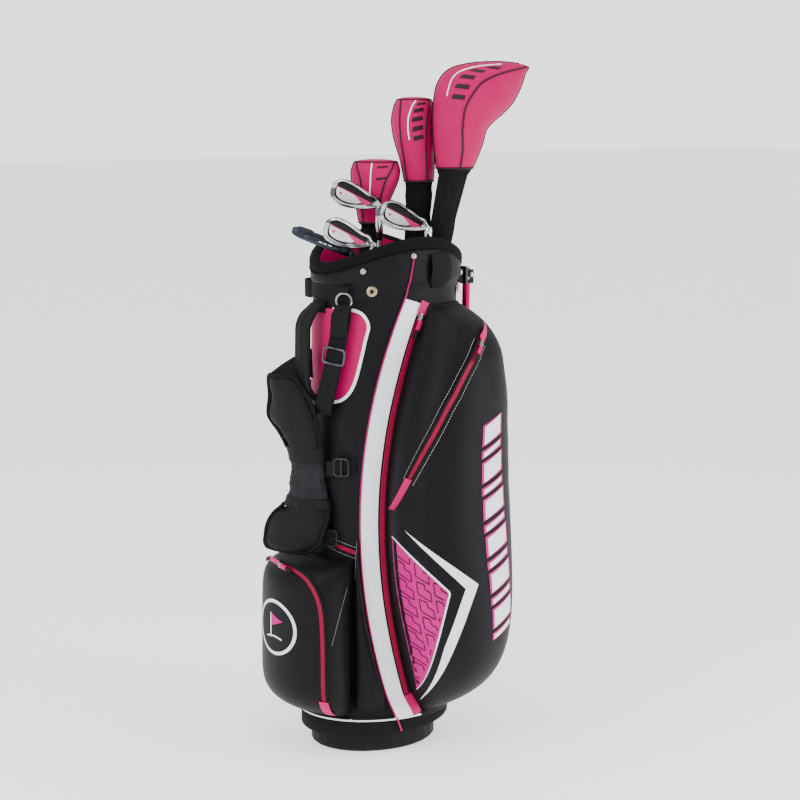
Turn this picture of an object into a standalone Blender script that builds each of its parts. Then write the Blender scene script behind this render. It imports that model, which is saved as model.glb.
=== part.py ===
"""A set of golf clubs in a stand bag: seven clubs, three head covers and the bag with its fold-out legs.

Blender 4.5. Metres, +Z up. The origin is on the ground, under the middle of the foot plate. -Y is the strap side
of the bag, +Y is the leg side, and the right-hand pocket is at +X.
"""
import math

import bmesh
import bpy
from mathutils import Matrix, Vector

# ---- Driving dimensions ---------------------------------------------------------------------------------------
GAP = 0.0005                   # air between pieces that touch
FACET_GAP = 0.0016             # air between two curved faces whose facets don't line up
SHELL_BOTTOM_Z = 0.076         # lower edge of the bag's fabric tube
TUBE_LOW = (0.100, 0.118, -0.015)   # half-width in X, half-width in Y and middle in Y, at z = 0.05
TUBE_HIGH = (0.105, 0.129, 0.010)   # the same at z = 0.80
TUBE_LOW_Z, TUBE_HIGH_Z = 0.05, 0.80
RIM_Z, RIM_SADDLE = 0.857, 0.021    # the rim is high at the two sides and low at the strap and the legs
SHELL_WALL = 0.0025
COLLAR_WALL = 0.004
FLARE, FLARE_Z = 0.013, (0.0645, 0.0775)    # how far the base collar stands out, and where that flare ends

FLOOR_TOP, FLOOR_UNDER = 0.068, 0.064    # the floor that the grips stand on
SKIRT_Z = 0.033                # lower edge of the base collar's skirt
FOOT_HALF = (0.095, 0.113)
FOOT_Y = -0.018
FOOT_TOP, FOOT_FLOOR = 0.036, 0.010
FOOT_HINGE = Vector((0.0, -0.104, 0.026))
HINGE_PIN_R = 0.003

LEG_PIVOT = Vector((0.026, 0.1625, 0.797))
LEG_END = Vector((0.050, 0.130, 0.100))
LEG_R = 0.0070
LEG_SPLAY = math.radians(22)   # how far each leg swings sideways as it swings back
LEG_PIN_R = 0.0022

ROD_R, ROD_OUT, ROD_Z = 0.0022, 0.0046, (0.0265, 0.700)    # the rod runs up the back of the bag
HIP_PAD_OUT = 0.0080           # the hip pad's inner face stands off the bag, over the rod
HIP_PAD_Z, HIP_PAD_ANGLE, HIP_PAD_DEPTH = (0.345, 0.485), 11.0, 0.014
PUSH_TAB_TOP = 0.026           # the foot plate's tab under the rod

SECTION_POINTS = 28            # points round the bag's oval


# ---- Materials ------------------------------------------------------------------------------------------------
def material(name, colour, roughness, metallic=0.0):
    made = bpy.data.materials.new(name)
    made.use_nodes = True
    shader = made.node_tree.nodes["Principled BSDF"]
    shader.inputs["Base Color"].default_value = (*colour, 1.0)
    shader.inputs["Roughness"].default_value = roughness
    shader.inputs["Metallic"].default_value = metallic
    return made


def make_materials():
    return {
        "black_fabric": material("black_fabric", (0.012, 0.012, 0.014), 0.75),
        "black_padding": material("black_padding", (0.018, 0.018, 0.020), 0.85),
        "webbing": material("webbing", (0.010, 0.010, 0.011), 0.80),
        "pink_fabric": material("pink_fabric", (0.86, 0.01, 0.16), 0.60),
        "black_plastic": material("black_plastic", (0.014, 0.014, 0.015), 0.45),
        "pink_metal": material("pink_metal", (0.80, 0.02, 0.20), 0.25, 0.6),
        "steel": material("steel", (0.62, 0.62, 0.64), 0.22, 1.0),
        "chrome": material("chrome", (0.80, 0.80, 0.82), 0.10, 1.0),
        "graphite": material("graphite", (0.05, 0.05, 0.06), 0.30),
        "dark_metal": material("dark_metal", (0.06, 0.065, 0.075), 0.32, 0.7),
        "rubber": material("rubber", (0.015, 0.015, 0.015), 0.85),
        "zip_pink": material("zip_pink", (0.70, 0.01, 0.10), 0.50),
    }


# ---- Building blocks ------------------------------------------------------------------------------------------
def clear_scene():
    for obj in list(bpy.data.objects):
        bpy.data.objects.remove(obj, do_unlink=True)


def add_object(name, data, finish, collection):
    obj = bpy.data.objects.new(name, data)
    obj.data.materials.append(finish)
    collection.objects.link(obj)
    return obj


def mesh_object(name, verts, faces, finish, collection):
    mesh = bpy.data.meshes.new(name)
    mesh.from_pydata([tuple(v) for v in verts], [], faces)
    mesh.validate()
    build = bmesh.new()
    build.from_mesh(mesh)
    bmesh.ops.recalc_face_normals(build, faces=build.faces)
    build.to_mesh(mesh)
    build.free()
    mesh.shade_smooth()
    mesh.set_sharp_from_angle(angle=math.radians(40))
    return add_object(name, mesh, finish, collection)


def ring_faces(ring_count, points):
    """Quads between rings of points that run right round."""
    return [
        (r * points + i, r * points + (i + 1) % points, (r + 1) * points + (i + 1) % points, (r + 1) * points + i)
        for r in range(ring_count - 1)
        for i in range(points)
    ]


def loft(name, rings, finish, collection, caps=(True, True)):
    """A closed form through rings of equally many points, with flat ends."""
    points = len(rings[0])
    verts = [p for ring in rings for p in ring]
    faces = ring_faces(len(rings), points)
    if caps[0]:
        faces.append(tuple(range(points)))
    if caps[1]:
        faces.append(tuple(range((len(rings) - 1) * points, len(rings) * points)))
    return mesh_object(name, verts, faces, finish, collection)


def slab(name, outer, inner, finish, collection):
    """The solid between two grids of points that have the same rows and columns."""
    rows, columns = len(outer), len(outer[0])
    verts = [p for row in outer for p in row] + [p for row in inner for p in row]
    half = rows * columns

    def at(layer, r, c):
        return layer * half + r * columns + c

    faces = []
    for r in range(rows - 1):
        for c in range(columns - 1):
            faces.append((at(0, r, c), at(0, r, c + 1), at(0, r + 1, c + 1), at(0, r + 1, c)))
            faces.append((at(1, r, c), at(1, r + 1, c), at(1, r + 1, c + 1), at(1, r, c + 1)))
    for c in range(columns - 1):
        faces.append((at(0, 0, c), at(1, 0, c), at(1, 0, c + 1), at(0, 0, c + 1)))
        faces.append((at(0, rows - 1, c), at(0, rows - 1, c + 1), at(1, rows - 1, c + 1), at(1, rows - 1, c)))
    for r in range(rows - 1):
        faces.append((at(0, r, 0), at(0, r + 1, 0), at(1, r + 1, 0), at(1, r, 0)))
        faces.append((at(0, r, columns - 1), at(1, r, columns - 1), at(1, r + 1, columns - 1), at(0, r + 1, columns - 1)))
    return mesh_object(name, verts, faces, finish, collection)


def ribbon(name, centres, sides, thickness, finish, collection):
    """A strap through the centres. Each side vector is half its width, and thickness is across both."""
    rings = []
    for i, (centre, side) in enumerate(zip(centres, sides)):
        along = (centres[min(i + 1, len(centres) - 1)] - centres[max(i - 1, 0)]).normalized()
        out = along.cross(side).normalized() * thickness / 2
        rings.append([centre - side - out, centre + side - out, centre + side + out, centre - side + out])
    return loft(name, rings, finish, collection)


def turned(name, profile, steps, finish, collection, axis_matrix):
    """A profile of (radius, height) turned round its own Z by a Screw modifier, top to bottom on the outside."""
    mesh = bpy.data.meshes.new(name)
    mesh.from_pydata([(r, 0.0, z) for r, z in profile], [(i, i + 1) for i in range(len(profile) - 1)], [])
    obj = add_object(name, mesh, finish, collection)
    screw = obj.modifiers.new("Screw", "SCREW")
    screw.steps = screw.render_steps = steps
    screw.use_merge_vertices = True
    screw.merge_threshold = 0.0001
    screw.use_normal_calculate = True
    obj.matrix_world = axis_matrix
    return obj


def rod(name, start, end, radius_start, radius_end, finish, collection, sides=10):
    """A straight, plain or tapered, round bar between two points."""
    build = bmesh.new()
    bmesh.ops.create_cone(build, cap_ends=True, segments=sides, radius1=radius_start, radius2=radius_end,
                          depth=(end - start).length)
    mesh = bpy.data.meshes.new(name)
    build.to_mesh(mesh)
    build.free()
    mesh.shade_smooth()
    mesh.set_sharp_from_angle(angle=math.radians(50))
    obj = add_object(name, mesh, finish, collection)
    obj.matrix_world = along_axis((start + end) / 2, end - start)
    return obj


def block(name, size, centre, finish, collection, turn=0.0, bevel=0.0):
    """A box of that size, turned about Z, with its edges rounded."""
    build = bmesh.new()
    bmesh.ops.create_cube(build, size=1.0)
    bmesh.ops.scale(build, vec=size, verts=build.verts)
    mesh = bpy.data.meshes.new(name)
    build.to_mesh(mesh)
    build.free()
    obj = add_object(name, mesh, finish, collection)
    obj.matrix_world = Matrix.Translation(centre) @ Matrix.Rotation(turn, 4, "Z")
    if bevel:
        rounding = obj.modifiers.new("Bevel", "BEVEL")
        rounding.width = bevel
        rounding.segments = 1
    return obj


def wire(name, points, radius, finish, collection, closed=False, resolution=1):
    """A bent round wire through the points."""
    curve = bpy.data.curves.new(name, "CURVE")
    curve.dimensions = "3D"
    curve.bevel_depth = radius
    curve.bevel_resolution = resolution
    curve.use_fill_caps = not closed
    spline = curve.splines.new("POLY")
    spline.points.add(len(points) - 1)
    for point, place in zip(spline.points, points):
        point.co = (*place, 1.0)
    spline.use_cyclic_u = closed
    return add_object(name, curve, finish, collection)


def boolean(obj, other, operation):
    modifier = obj.modifiers.new(operation.title(), "BOOLEAN")
    modifier.operation = operation
    modifier.object = other
    modifier.solver = "EXACT"


def hide_helper(obj):
    obj.hide_render = True
    obj.display_type = "WIRE"
    return obj


def along_axis(origin, axis, across=None):
    """A frame at origin whose Z runs along axis, and whose X leans towards across."""
    z = axis.normalized()
    side = across if across is not None else (Vector((0, 0, 1)) if abs(z.z) < 0.9 else Vector((1, 0, 0)))
    y = z.cross(side).normalized()
    x = y.cross(z)
    return Matrix.Translation(origin) @ Matrix((x, y, z)).transposed().to_4x4()


# ---- The bag's oval and the surfaces that hang on it ----------------------------------------------------------
def tube_at(z):
    """(half-width in X, half-width in Y, middle in Y) of the fabric tube at height z."""
    share = (z - TUBE_LOW_Z) / (TUBE_HIGH_Z - TUBE_LOW_Z)
    return [low + share * (high - low) for low, high in zip(TUBE_LOW, TUBE_HIGH)]


def on_tube(angle, z, out=0.0):
    """The point out from the tube's skin. The angle runs from the strap side (0) to the right-hand pocket (90)."""
    half_x, half_y, middle = tube_at(z)
    a = math.radians(angle)
    normal = Vector((math.sin(a) / half_x, -math.cos(a) / half_y, 0.0)).normalized()
    return Vector((half_x * math.sin(a), middle - half_y * math.cos(a), z)) + normal * out


def rim_z(angle):
    return RIM_Z - RIM_SADDLE * math.cos(math.radians(2 * angle))


def round_angles(count=SECTION_POINTS):
    return [360.0 * i / count for i in range(count)]


def swell(share, power):
    """0 at both ends of a run, 1 in its middle, and blunter for a higher power."""
    return max(0.0, 1.0 - abs(2.0 * share - 1.0) ** power) ** (1.0 / power)


def clear_of_base(z):
    """How far a pocket's inner face stands off the tube, so that it clears the flare of the base collar."""
    return FACET_GAP + (FLARE - FACET_GAP + 0.0016) * min(1.0, max(0.0, (FLARE_Z[1] - z) / (FLARE_Z[1] - FLARE_Z[0])))


POCKET_EDGE = 0.005            # a pocket's thickness where it is sewn down


def pocket_point(edges, fullness, across, z, lift=0.0, side=1):
    """A point on a pocket's outer face, across being the share of its width."""
    first, last = edges(z)
    out = clear_of_base(z) + POCKET_EDGE + max(0.0, fullness(across, z) - POCKET_EDGE - clear_of_base(z))
    return on_tube(side * (first + across * (last - first)), z, out + lift)


def pocket(name, edges, heights, fullness, finish, collection, columns=12, rows=9, side=1, inside=0.0):
    """A filled pocket on the tube. edges gives its two side angles at a height, and fullness how far it stands out."""
    low, high = heights
    zs = [low + (0.5 - 0.5 * math.cos(math.pi * r / (rows - 1))) * (high - low) for r in range(rows)]
    if low < FLARE_Z[0]:
        zs = [low, *FLARE_Z] + [z for z in zs if z > FLARE_Z[1] + 0.008]
    shares = [0.5 - 0.5 * math.cos(math.pi * c / (columns - 1)) for c in range(columns)]
    outer = [[pocket_point(edges, fullness, across, z, inside, side) for across in shares] for z in zs]
    inner = []
    for z in zs:
        first, last = edges(z)
        inner.append([on_tube(side * (first + across * (last - first)), z, clear_of_base(z) + inside)
                      for across in shares])
    return slab(name, outer, inner, finish, collection)


# ---- The bag's base and its foot --------------------------------------------------------------------------------
def skirt_z(angle):
    """The skirt's lower edge is higher at the legs, where the foot plate closes up into it."""
    return SKIRT_Z + 0.006 - 0.006 * math.cos(math.radians(angle))


def base_collar(finish, collection, cutters):
    """The moulded base: a skirt round the foot, the floor that the grips stand on, and a wall inside the shell."""
    angles = round_angles()
    stations = [(0.009, FLOOR_UNDER), (0.009, None), (FLARE, None), (FLARE, 0.062), (0.0, SHELL_BOTTOM_Z - GAP),
                (-0.0032, SHELL_BOTTOM_Z - GAP), (-0.0032, 0.110), (-0.0062, 0.110), (-0.0062, FLOOR_TOP)]
    rings = []
    for out, z in stations:
        heights = [skirt_z(a) if z is None else z for a in angles]
        rings.append([on_tube(a, max(FLOOR_UNDER, h), out).xy.to_3d() + Vector((0, 0, h))
                      for a, h in zip(angles, heights)])
    collar = loft("base_collar", rings, finish, collection)
    for side in (-1, 1):
        lug = block("collar_lug", (0.010, 0.013, 0.046), (side * 0.033, FOOT_HINGE.y, 0.042), finish, cutters)
        boolean(collar, hide_helper(lug), "UNION")
    bore = rod("collar_bore", FOOT_HINGE + Vector((-0.08, 0, 0)), FOOT_HINGE + Vector((0.08, 0, 0)),
               HINGE_PIN_R + 0.0006, HINGE_PIN_R + 0.0006, finish, cutters, sides=12)
    boolean(collar, hide_helper(bore), "DIFFERENCE")
    slot = rod("collar_slot", on_tube(180, 0.02, ROD_OUT), on_tube(180, 0.12, ROD_OUT), ROD_R + 0.0012, ROD_R + 0.0012,
               finish, cutters, sides=12)
    boolean(collar, hide_helper(slot), "DIFFERENCE")
    return collar


def foot_plate(finish, collection, cutters):
    """A tray that the bag stands on. It turns about the pin at the strap side, so the bag can lean on its legs."""
    def ring(inset, z):
        return [
            Vector(((FOOT_HALF[0] - inset) * math.sin(a), FOOT_Y - (FOOT_HALF[1] - inset) * math.cos(a), z))
            for a in map(math.radians, round_angles())
        ]

    rings = [ring(0.004, 0.0), ring(0.0, 0.004), ring(0.0, FOOT_TOP), ring(0.006, FOOT_TOP), ring(0.006, FOOT_FLOOR)]
    for top in rings[2:4]:
        for point in top:
            point.z -= 0.008 * (point.y - FOOT_Y + FOOT_HALF[1]) / (2 * FOOT_HALF[1])
    foot = loft("foot_plate", rings, finish, collection)
    for side in (-1, 1):
        lug = block("foot_lug", (0.012, 0.013, 0.026), (side * 0.0215, FOOT_HINGE.y, 0.0195), finish, cutters)
        boolean(foot, hide_helper(lug), "UNION")
    tab = block("foot_tab", (0.020, 0.026, 0.016), (0, 0.0965, PUSH_TAB_TOP - 0.008), finish, cutters)
    boolean(foot, hide_helper(tab), "UNION")
    bore = rod("foot_bore", FOOT_HINGE + Vector((-0.056, 0, 0)), FOOT_HINGE + Vector((0.056, 0, 0)),
               HINGE_PIN_R + 0.0006, HINGE_PIN_R + 0.0006, finish, cutters, sides=12)
    boolean(foot, hide_helper(bore), "DIFFERENCE")
    return foot


# ---- The bag's body -----------------------------------------------------------------------------------------------
def body_shell(finish, collection):
    """The fabric tube, open at both ends."""
    angles = round_angles()
    heights = [SHELL_BOTTOM_Z, 0.30, 0.55, 0.790]
    outside = [[on_tube(a, z) for a in angles] for z in heights]
    inside = [[on_tube(a, z, -SHELL_WALL) for a in angles] for z in reversed(heights)]
    return loft("body_shell", outside + inside + outside[:1], finish, collection, caps=(False, False))


def closed_ring(name, stations, finish, collection):
    """A ring round the bag. Each station is (out from the tube, height, share of the rim's rise and fall)."""
    rings = []
    for out, z, follow in stations:
        rings.append([on_tube(a, z + follow * (rim_z(a) - RIM_Z), out) for a in round_angles()])
    rings.append(rings[0])
    return loft(name, rings, finish, collection, caps=(False, False))


def top_collar(finish, collection):
    inner = -SHELL_WALL - GAP - COLLAR_WALL
    outer = -SHELL_WALL - GAP
    top = RIM_Z - 0.012
    return closed_ring("top_collar", [(outer, 0.745, 0), (outer, top, 1), (inner, top, 1), (inner, 0.745, 0)],
                       finish, collection)


def cuff_pad(finish, collection):
    stations = [(-0.0022, 0.7915, 0), (0.004, 0.7915, 0), (0.0075, 0.812, 0.3), (0.0075, RIM_Z - 0.022, 1),
                (0.004, RIM_Z - 0.006, 1), (-0.003, RIM_Z, 1), (-0.0105, RIM_Z - 0.005, 1),
                (-0.0105, RIM_Z - 0.0112, 1), (-0.0022, RIM_Z - 0.0112, 1)]
    return closed_ring("cuff_pad", stations, finish, collection)


DIVIDER_Z, DIVIDER_DEPTH, DIVIDER_WALL = 0.790, 0.050, 0.005
DIVIDER_X = -0.0255            # the long bar, from the strap side to the leg side
DIVIDER_YS = (0.0585, -0.035)  # the two short bars, from the long bar to the right-hand side


def club_divider(finish, collection, cutters):
    """Three bars across the mouth, which make four cells for the clubs."""
    inside = -SHELL_WALL - 2 * GAP - COLLAR_WALL
    outline = [[on_tube(a, z, inside) for a in round_angles()]
               for z in (DIVIDER_Z - DIVIDER_DEPTH / 2, DIVIDER_Z + DIVIDER_DEPTH / 2)]
    divider = loft("club_divider", outline, finish, collection)
    bars = [block("divider_bar", (DIVIDER_WALL, 0.4, 0.1), (DIVIDER_X, 0, DIVIDER_Z), finish, cutters)]
    for y in DIVIDER_YS:
        size = (0.2, DIVIDER_WALL, 0.1)
        bars.append(block("divider_bar", size, (DIVIDER_X + 0.1, y, DIVIDER_Z), finish, cutters))
    for bar in bars[1:]:
        boolean(bars[0], hide_helper(bar), "UNION")
    boolean(divider, hide_helper(bars[0]), "INTERSECT")
    return divider


# ---- The pockets --------------------------------------------------------------------------------------------------
SIDE_Z = (0.047, 0.764)
SIDE_RISE = (6.6, 0.95), (8.0, 1.2)
SIDE_DEPTH_HIGH, SIDE_DEPTH_LOW = 0.112, 0.144    # the side pockets are fuller lower down
BALL_Z = (0.047, 0.338)
BALL_DEPTH = 0.086
BALL_RISE = (6.0, 1.2), (9.0, 2.0)
BALL_ANGLES = (-48.0, 40.0)
VALUABLES_Z, VALUABLES_DEPTH = (0.047, 0.372), 0.022
BAND_ANGLE = 15.0              # how far round the bag the white band reaches
ZIP_ANGLE = 6.5                # and the strip for the long zip behind it


def band_end_angle(z):
    """The back edge of the white band, which bows towards the strap side half-way up."""
    return 59.0 + 32.0 * ((z - 0.42) / 0.36) ** 2


def side_back_angle(z):
    return 152.0 - 14.0 * ((z - 0.42) / 0.36) ** 2


def smooth(share):
    share = min(1.0, max(0.0, share))
    return share * share * (3.0 - 2.0 * share)


def rise(up, low, high):
    """How full a pocket is at a share of its height: it slopes out from its sewn ends, then runs straight."""
    power, root = low if up < 0.5 else high
    return max(0.0, 1.0 - abs(2.0 * up - 1.0) ** power) ** (1.0 / root)


def side_fullness(across, z):
    """How far a side pocket stands out at a share of its width."""
    up = (z - SIDE_Z[0]) / (SIDE_Z[1] - SIDE_Z[0])
    depth = SIDE_DEPTH_HIGH + (SIDE_DEPTH_LOW - SIDE_DEPTH_HIGH) * smooth((0.66 - z) / 0.46)
    return depth * rise(up, *SIDE_RISE) * swell(across, 2.4)


def ball_fullness(across, z):
    return BALL_DEPTH * rise((z - BALL_Z[0]) / (BALL_Z[1] - BALL_Z[0]), *BALL_RISE) * swell(across, 3.2)


def valuables_fullness(across, z):
    return VALUABLES_DEPTH * swell((z - VALUABLES_Z[0]) / (VALUABLES_Z[1] - VALUABLES_Z[0]), 3.0) * swell(across, 2.4)


def side_edges(z):
    return band_end_angle(z) + ZIP_ANGLE, side_back_angle(z)


def ball_edges(z):
    return BALL_ANGLES


def valuables_edges(z):
    start = BALL_ANGLES[1] + 1.5
    return start, max(start + 2.5, band_end_angle(z) - BAND_ANGLE - 1.5)


def pockets(fabric, collection):
    pocket("ball_pocket", ball_edges, BALL_Z, ball_fullness, fabric, collection, rows=13)
    pocket("valuables_pocket", valuables_edges, VALUABLES_Z, valuables_fullness, fabric, collection, columns=7,
           rows=8)
    for side, hand in ((1, "right"), (-1, "left")):
        pocket("side_pocket_" + hand, side_edges, SIDE_Z, side_fullness, fabric, collection, rows=15, side=side)


# ---- Handle, straps and pads --------------------------------------------------------------------------------------
ACROSS = Vector((0.574, 0.819, 0.0)).normalized()     # the clubs fan out this way
AWAY = Vector((-0.819, 0.574, 0.0)).normalized()      # the irons' faces look this way
UP = Vector((0.0, 0.0, 1.0))
HANDLE_Z = (0.598, 0.766)
HANDLE_OUT = 0.034
HANDLE_ANGLE = -3.0
PAD_AWAY = -0.086
PAD_SIDE = Vector((0.93, 0.37, 0.0)).normalized()
PAD_THICKNESS = 0.020
# The two pads of the shoulder strap, top to bottom: (across, height, half-width).
PAD_UPPER = [(-0.172, 0.634, 0.020), (-0.160, 0.608, 0.035), (-0.152, 0.580, 0.045), (-0.146, 0.552, 0.046),
             (-0.136, 0.524, 0.040), (-0.130, 0.498, 0.036), (-0.128, 0.462, 0.036), (-0.127, 0.432, 0.037)]
PAD_LOWER = [(-0.128, 0.428, 0.038), (-0.133, 0.404, 0.048), (-0.144, 0.389, 0.058), (-0.150, 0.362, 0.058),
             (-0.158, 0.347, 0.046)]


# The webbing from the ring to the pads: (angle round the bag, height, out from the tube).
WEBBING = [(28.0, 0.756, 0.006), (26.0, 0.725, 0.012), (24.0, 0.690, 0.018), (21.0, 0.650, 0.021),
           (17.0, 0.612, 0.022), (13.0, 0.580, 0.020)]


def at(across, away, z):
    return ACROSS * across + AWAY * away + UP * z


def carry_handle(finish, collection):
    """A padded handle down the strap side, sewn to the shell at both ends."""
    count = 11
    centres, sides = [], []
    for i in range(count):
        share = i / (count - 1)
        z = HANDLE_Z[0] + share * (HANDLE_Z[1] - HANDLE_Z[0])
        rise = min(1.0, 4.2 * min(share, 1.0 - share))
        centres.append(on_tube(HANDLE_ANGLE, z, 0.0078 + (HANDLE_OUT - 0.0078) * math.sin(0.5 * math.pi * rise)))
        sides.append(Vector((1, 0, 0)) * (0.015 + 0.003 * rise))
    return ribbon("carry_handle", centres, sides, 0.012, finish, collection)


def hip_pad(finish, collection):
    low, high = HIP_PAD_Z

    def edges(z):
        return 180.0 - HIP_PAD_ANGLE, 180.0 + HIP_PAD_ANGLE

    def fullness(across, z):
        return HIP_PAD_DEPTH * swell((z - low) / (high - low), 3.0) * swell(across, 3.0)

    return pocket("hip_pad", edges, HIP_PAD_Z, fullness, finish, collection, columns=6, rows=6, inside=HIP_PAD_OUT)


def strap_parts(webbing, pad, collection):
    """The shoulder strap: two pads, and the webbing that ties them to the bag."""
    for name, stations in (("strap_pad_upper", PAD_UPPER), ("strap_pad_lower", PAD_LOWER)):
        centres = [at(across, PAD_AWAY, z) for across, z, _ in stations]
        ribbon(name, centres, [PAD_SIDE * half for *_, half in stations], PAD_THICKNESS, pad, collection)
    side = Vector((0.91, 0.41, 0.0)) * 0.0175
    ribbon("strap_webbing_upper", [on_tube(*place) for place in WEBBING], [side] * len(WEBBING), 0.0022, webbing,
           collection)
    low = [on_tube(40, 0.498, 0.004), on_tube(28, 0.496, 0.010), on_tube(17, 0.492, 0.018)]
    ribbon("strap_webbing_lower", low, [UP * 0.0125] * 3, 0.0022, webbing, collection)


GLIDE_AT = (23.6, 0.684, 0.0185)


def strap_glide(finish, collection):
    """The tri-glide buckle: a frame round the webbing, which slides along it."""
    across = Vector((0.91, 0.41, 0.0)).normalized()
    out = across.cross(UP)
    middle = on_tube(*GLIDE_AT) + out * 0.0045
    points = [middle + across * 0.022 * x + UP * 0.013 * z for x, z in ((-1, -1), (1, -1), (1, 1), (-1, 1))]
    return wire("strap_glide", points, 0.0017, finish, collection, closed=True)


def d_ring(finish, collection):
    """The ring that the shoulder strap hangs from."""
    across = Vector((0.89, 0.45, 0.0)).normalized()
    middle = on_tube(29, 0.775, 0.012)
    points = []
    for i in range(12):
        a = math.radians(30 * i)
        points.append(middle + across * 0.015 * math.cos(a) + UP * 0.0135 * math.sin(a))
    return wire("d_ring_right", points, 0.0018, finish, collection, closed=True)


# ---- Legs and what moves them ---------------------------------------------------------------------------------------
def leg_pivot(side):
    return Vector((side * LEG_PIVOT.x, LEG_PIVOT.y, LEG_PIVOT.z))


def leg_end(side):
    return Vector((side * LEG_END.x, LEG_END.y, LEG_END.z))


def leg_axis(side):
    """The pin that each leg turns on, set askew so that the two feet spread."""
    return Vector((math.cos(LEG_SPLAY), -side * math.sin(LEG_SPLAY), 0.0))


def leg_parts(metal, plastic, rubber, steel, collection, cutters):
    bracket = block("leg_bracket", (0.090, 0.0045, 0.030), (0, 0.14975, 0.803), plastic, collection)
    for side, hand in ((1, "right"), (-1, "left")):
        pivot, end = leg_pivot(side), leg_end(side)
        axis = leg_axis(side)
        down = (end - pivot).normalized()
        for offset in (-1, 1):
            ear = block("bracket_ear", (0.005, 0.024, 0.024), (0, 0, 0), plastic, cutters)
            turn = Matrix.Rotation(-side * LEG_SPLAY, 4, "Z")
            ear.matrix_world = Matrix.Translation(pivot + axis * offset * 0.0110 + Vector((0, -0.003, 0.003))) @ turn
            boolean(bracket, hide_helper(ear), "UNION")
        bore = rod("bracket_bore", pivot - axis * 0.03, pivot + axis * 0.03, LEG_PIN_R + 0.0004, LEG_PIN_R + 0.0004,
                   plastic, cutters, sides=12)
        boolean(bracket, hide_helper(bore), "DIFFERENCE")
        leg = rod("leg_" + hand, pivot - down * 0.005, end, LEG_R, LEG_R, metal, collection, sides=12)
        leg_bore = rod("leg_bore", pivot - axis * 0.03, pivot + axis * 0.03, LEG_PIN_R + 0.0004,
                       LEG_PIN_R + 0.0004, metal, cutters, sides=12)
        boolean(leg, hide_helper(leg_bore), "DIFFERENCE")
        rod("leg_pin_" + hand, pivot - axis * 0.0145, pivot + axis * 0.0145, LEG_PIN_R, LEG_PIN_R, steel,
            collection, sides=8)
        rod("leg_tip_" + hand, end + down * GAP, end + down * 0.028, 0.0085, 0.0115, rubber, collection, sides=12)
    return bracket


def actuator(steel, plastic, collection):
    """The rod that the foot plate pushes up, and the yoke at its top that pushes the legs out."""
    rod("actuator_rod", on_tube(180, ROD_Z[0], ROD_OUT), on_tube(180, ROD_Z[1], ROD_OUT), ROD_R, ROD_R, steel,
        collection, sides=8)
    yoke_z = ROD_Z[1] + 0.0155
    block("actuator_yoke", (0.040, 0.010, 0.030), on_tube(180, yoke_z, 0.007), plastic, collection, bevel=0.002)


# ---- Clubs ------------------------------------------------------------------------------------------------------------
BUTT_Z = FLOOR_TOP + 0.0025
MOUTH_Z = 0.86
GRIP_LENGTH = 0.255
BUTT_R, GRIP_END_R, SHAFT_LOW_R, SHAFT_HIGH_R = 0.0125, 0.0096, 0.0066, 0.0046

# Where each grip stands and where its shaft passes the mouth: (across, away) in metres.
CLUBS = {
    "driver": ((-0.010, 0.045), (0.0965, 0.022)),
    "fairway": ((0.018, 0.068), (0.065, 0.051)),
    "hybrid": ((-0.045, 0.020), (-0.019, 0.0385)),
    "iron_7": ((-0.005, -0.020), (-0.002, -0.016)),
    "iron_9": ((0.045, -0.040), (0.079, -0.035)),
    "wedge": ((-0.030, -0.075), (-0.012, -0.0835)),
    "putter": ((-0.070, -0.055), (-0.048, -0.062)),
}
# Where each iron's blade meets its shaft.
HEEL_Z = {"iron_7": 0.927, "iron_9": 0.890, "wedge": 0.866, "putter": 0.852}


def club_line(club):
    """(the butt's centre, the direction of the shaft)"""
    (low_across, low_away), (high_across, high_away) = CLUBS[club]
    butt = at(low_across, low_away, BUTT_Z)
    return butt, (at(high_across, high_away, MOUTH_Z) - butt).normalized()


def on_club(club, z):
    butt, direction = club_line(club)
    return butt + direction * ((z - butt.z) / direction.z)


def grip(club, finish, collection):
    """A tapered sleeve with a closed butt."""
    butt, direction = club_line(club)
    wall = SHAFT_LOW_R + GAP
    profile = [(0.0, 0.005), (wall, 0.005), (wall, GRIP_LENGTH), (GRIP_END_R, GRIP_LENGTH), (BUTT_R, 0.004),
               (BUTT_R - 0.003, 0.0), (0.0, 0.0)]
    turned(club + "_grip", profile, 10, finish, collection, along_axis(butt, direction))


def shaft(club, top, finish, collection):
    butt, direction = club_line(club)
    rod(club + "_shaft", butt + direction * (0.005 + GAP), top - direction * 0.0012, SHAFT_LOW_R, SHAFT_HIGH_R, finish,
        collection, sides=8)


# An iron's blade from heel to toe: (along, top line, sole, thickness at the top line, thickness at the sole).
BLADE = [(0.002, -0.006, 0.004, 0.008, 0.010), (0.012, -0.013, 0.010, 0.006, 0.015),
         (0.026, -0.0205, 0.010, 0.005, 0.018), (0.045, -0.0275, 0.0130, 0.005, 0.019),
         (0.062, -0.0303, 0.0142, 0.005, 0.019), (0.075, -0.0285, 0.0117, 0.005, 0.017),
         (0.083, -0.0200, 0.0050, 0.005, 0.012), (0.0862, -0.0080, 0.0, 0.005, 0.006)]
PUTTER_BLADE = [(0.000, -0.010, 0.006, 0.012, 0.016), (0.020, -0.013, 0.010, 0.014, 0.022),
                (0.060, -0.013, 0.012, 0.014, 0.024), (0.095, -0.010, 0.011, 0.014, 0.024),
                (0.106, -0.003, 0.008, 0.012, 0.016)]
LIE = {"iron_7": 27.0, "iron_9": 29.0, "wedge": 28.0, "putter": 20.0}


def blade_frame(club):
    """(the heel, towards the toe, towards the sole)"""
    a = math.radians(LIE[club])
    toe = -ACROSS * math.cos(a) + UP * math.sin(a)
    sole = ACROSS * math.sin(a) + UP * math.cos(a)
    return on_club(club, HEEL_Z[club]), toe, sole


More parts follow.
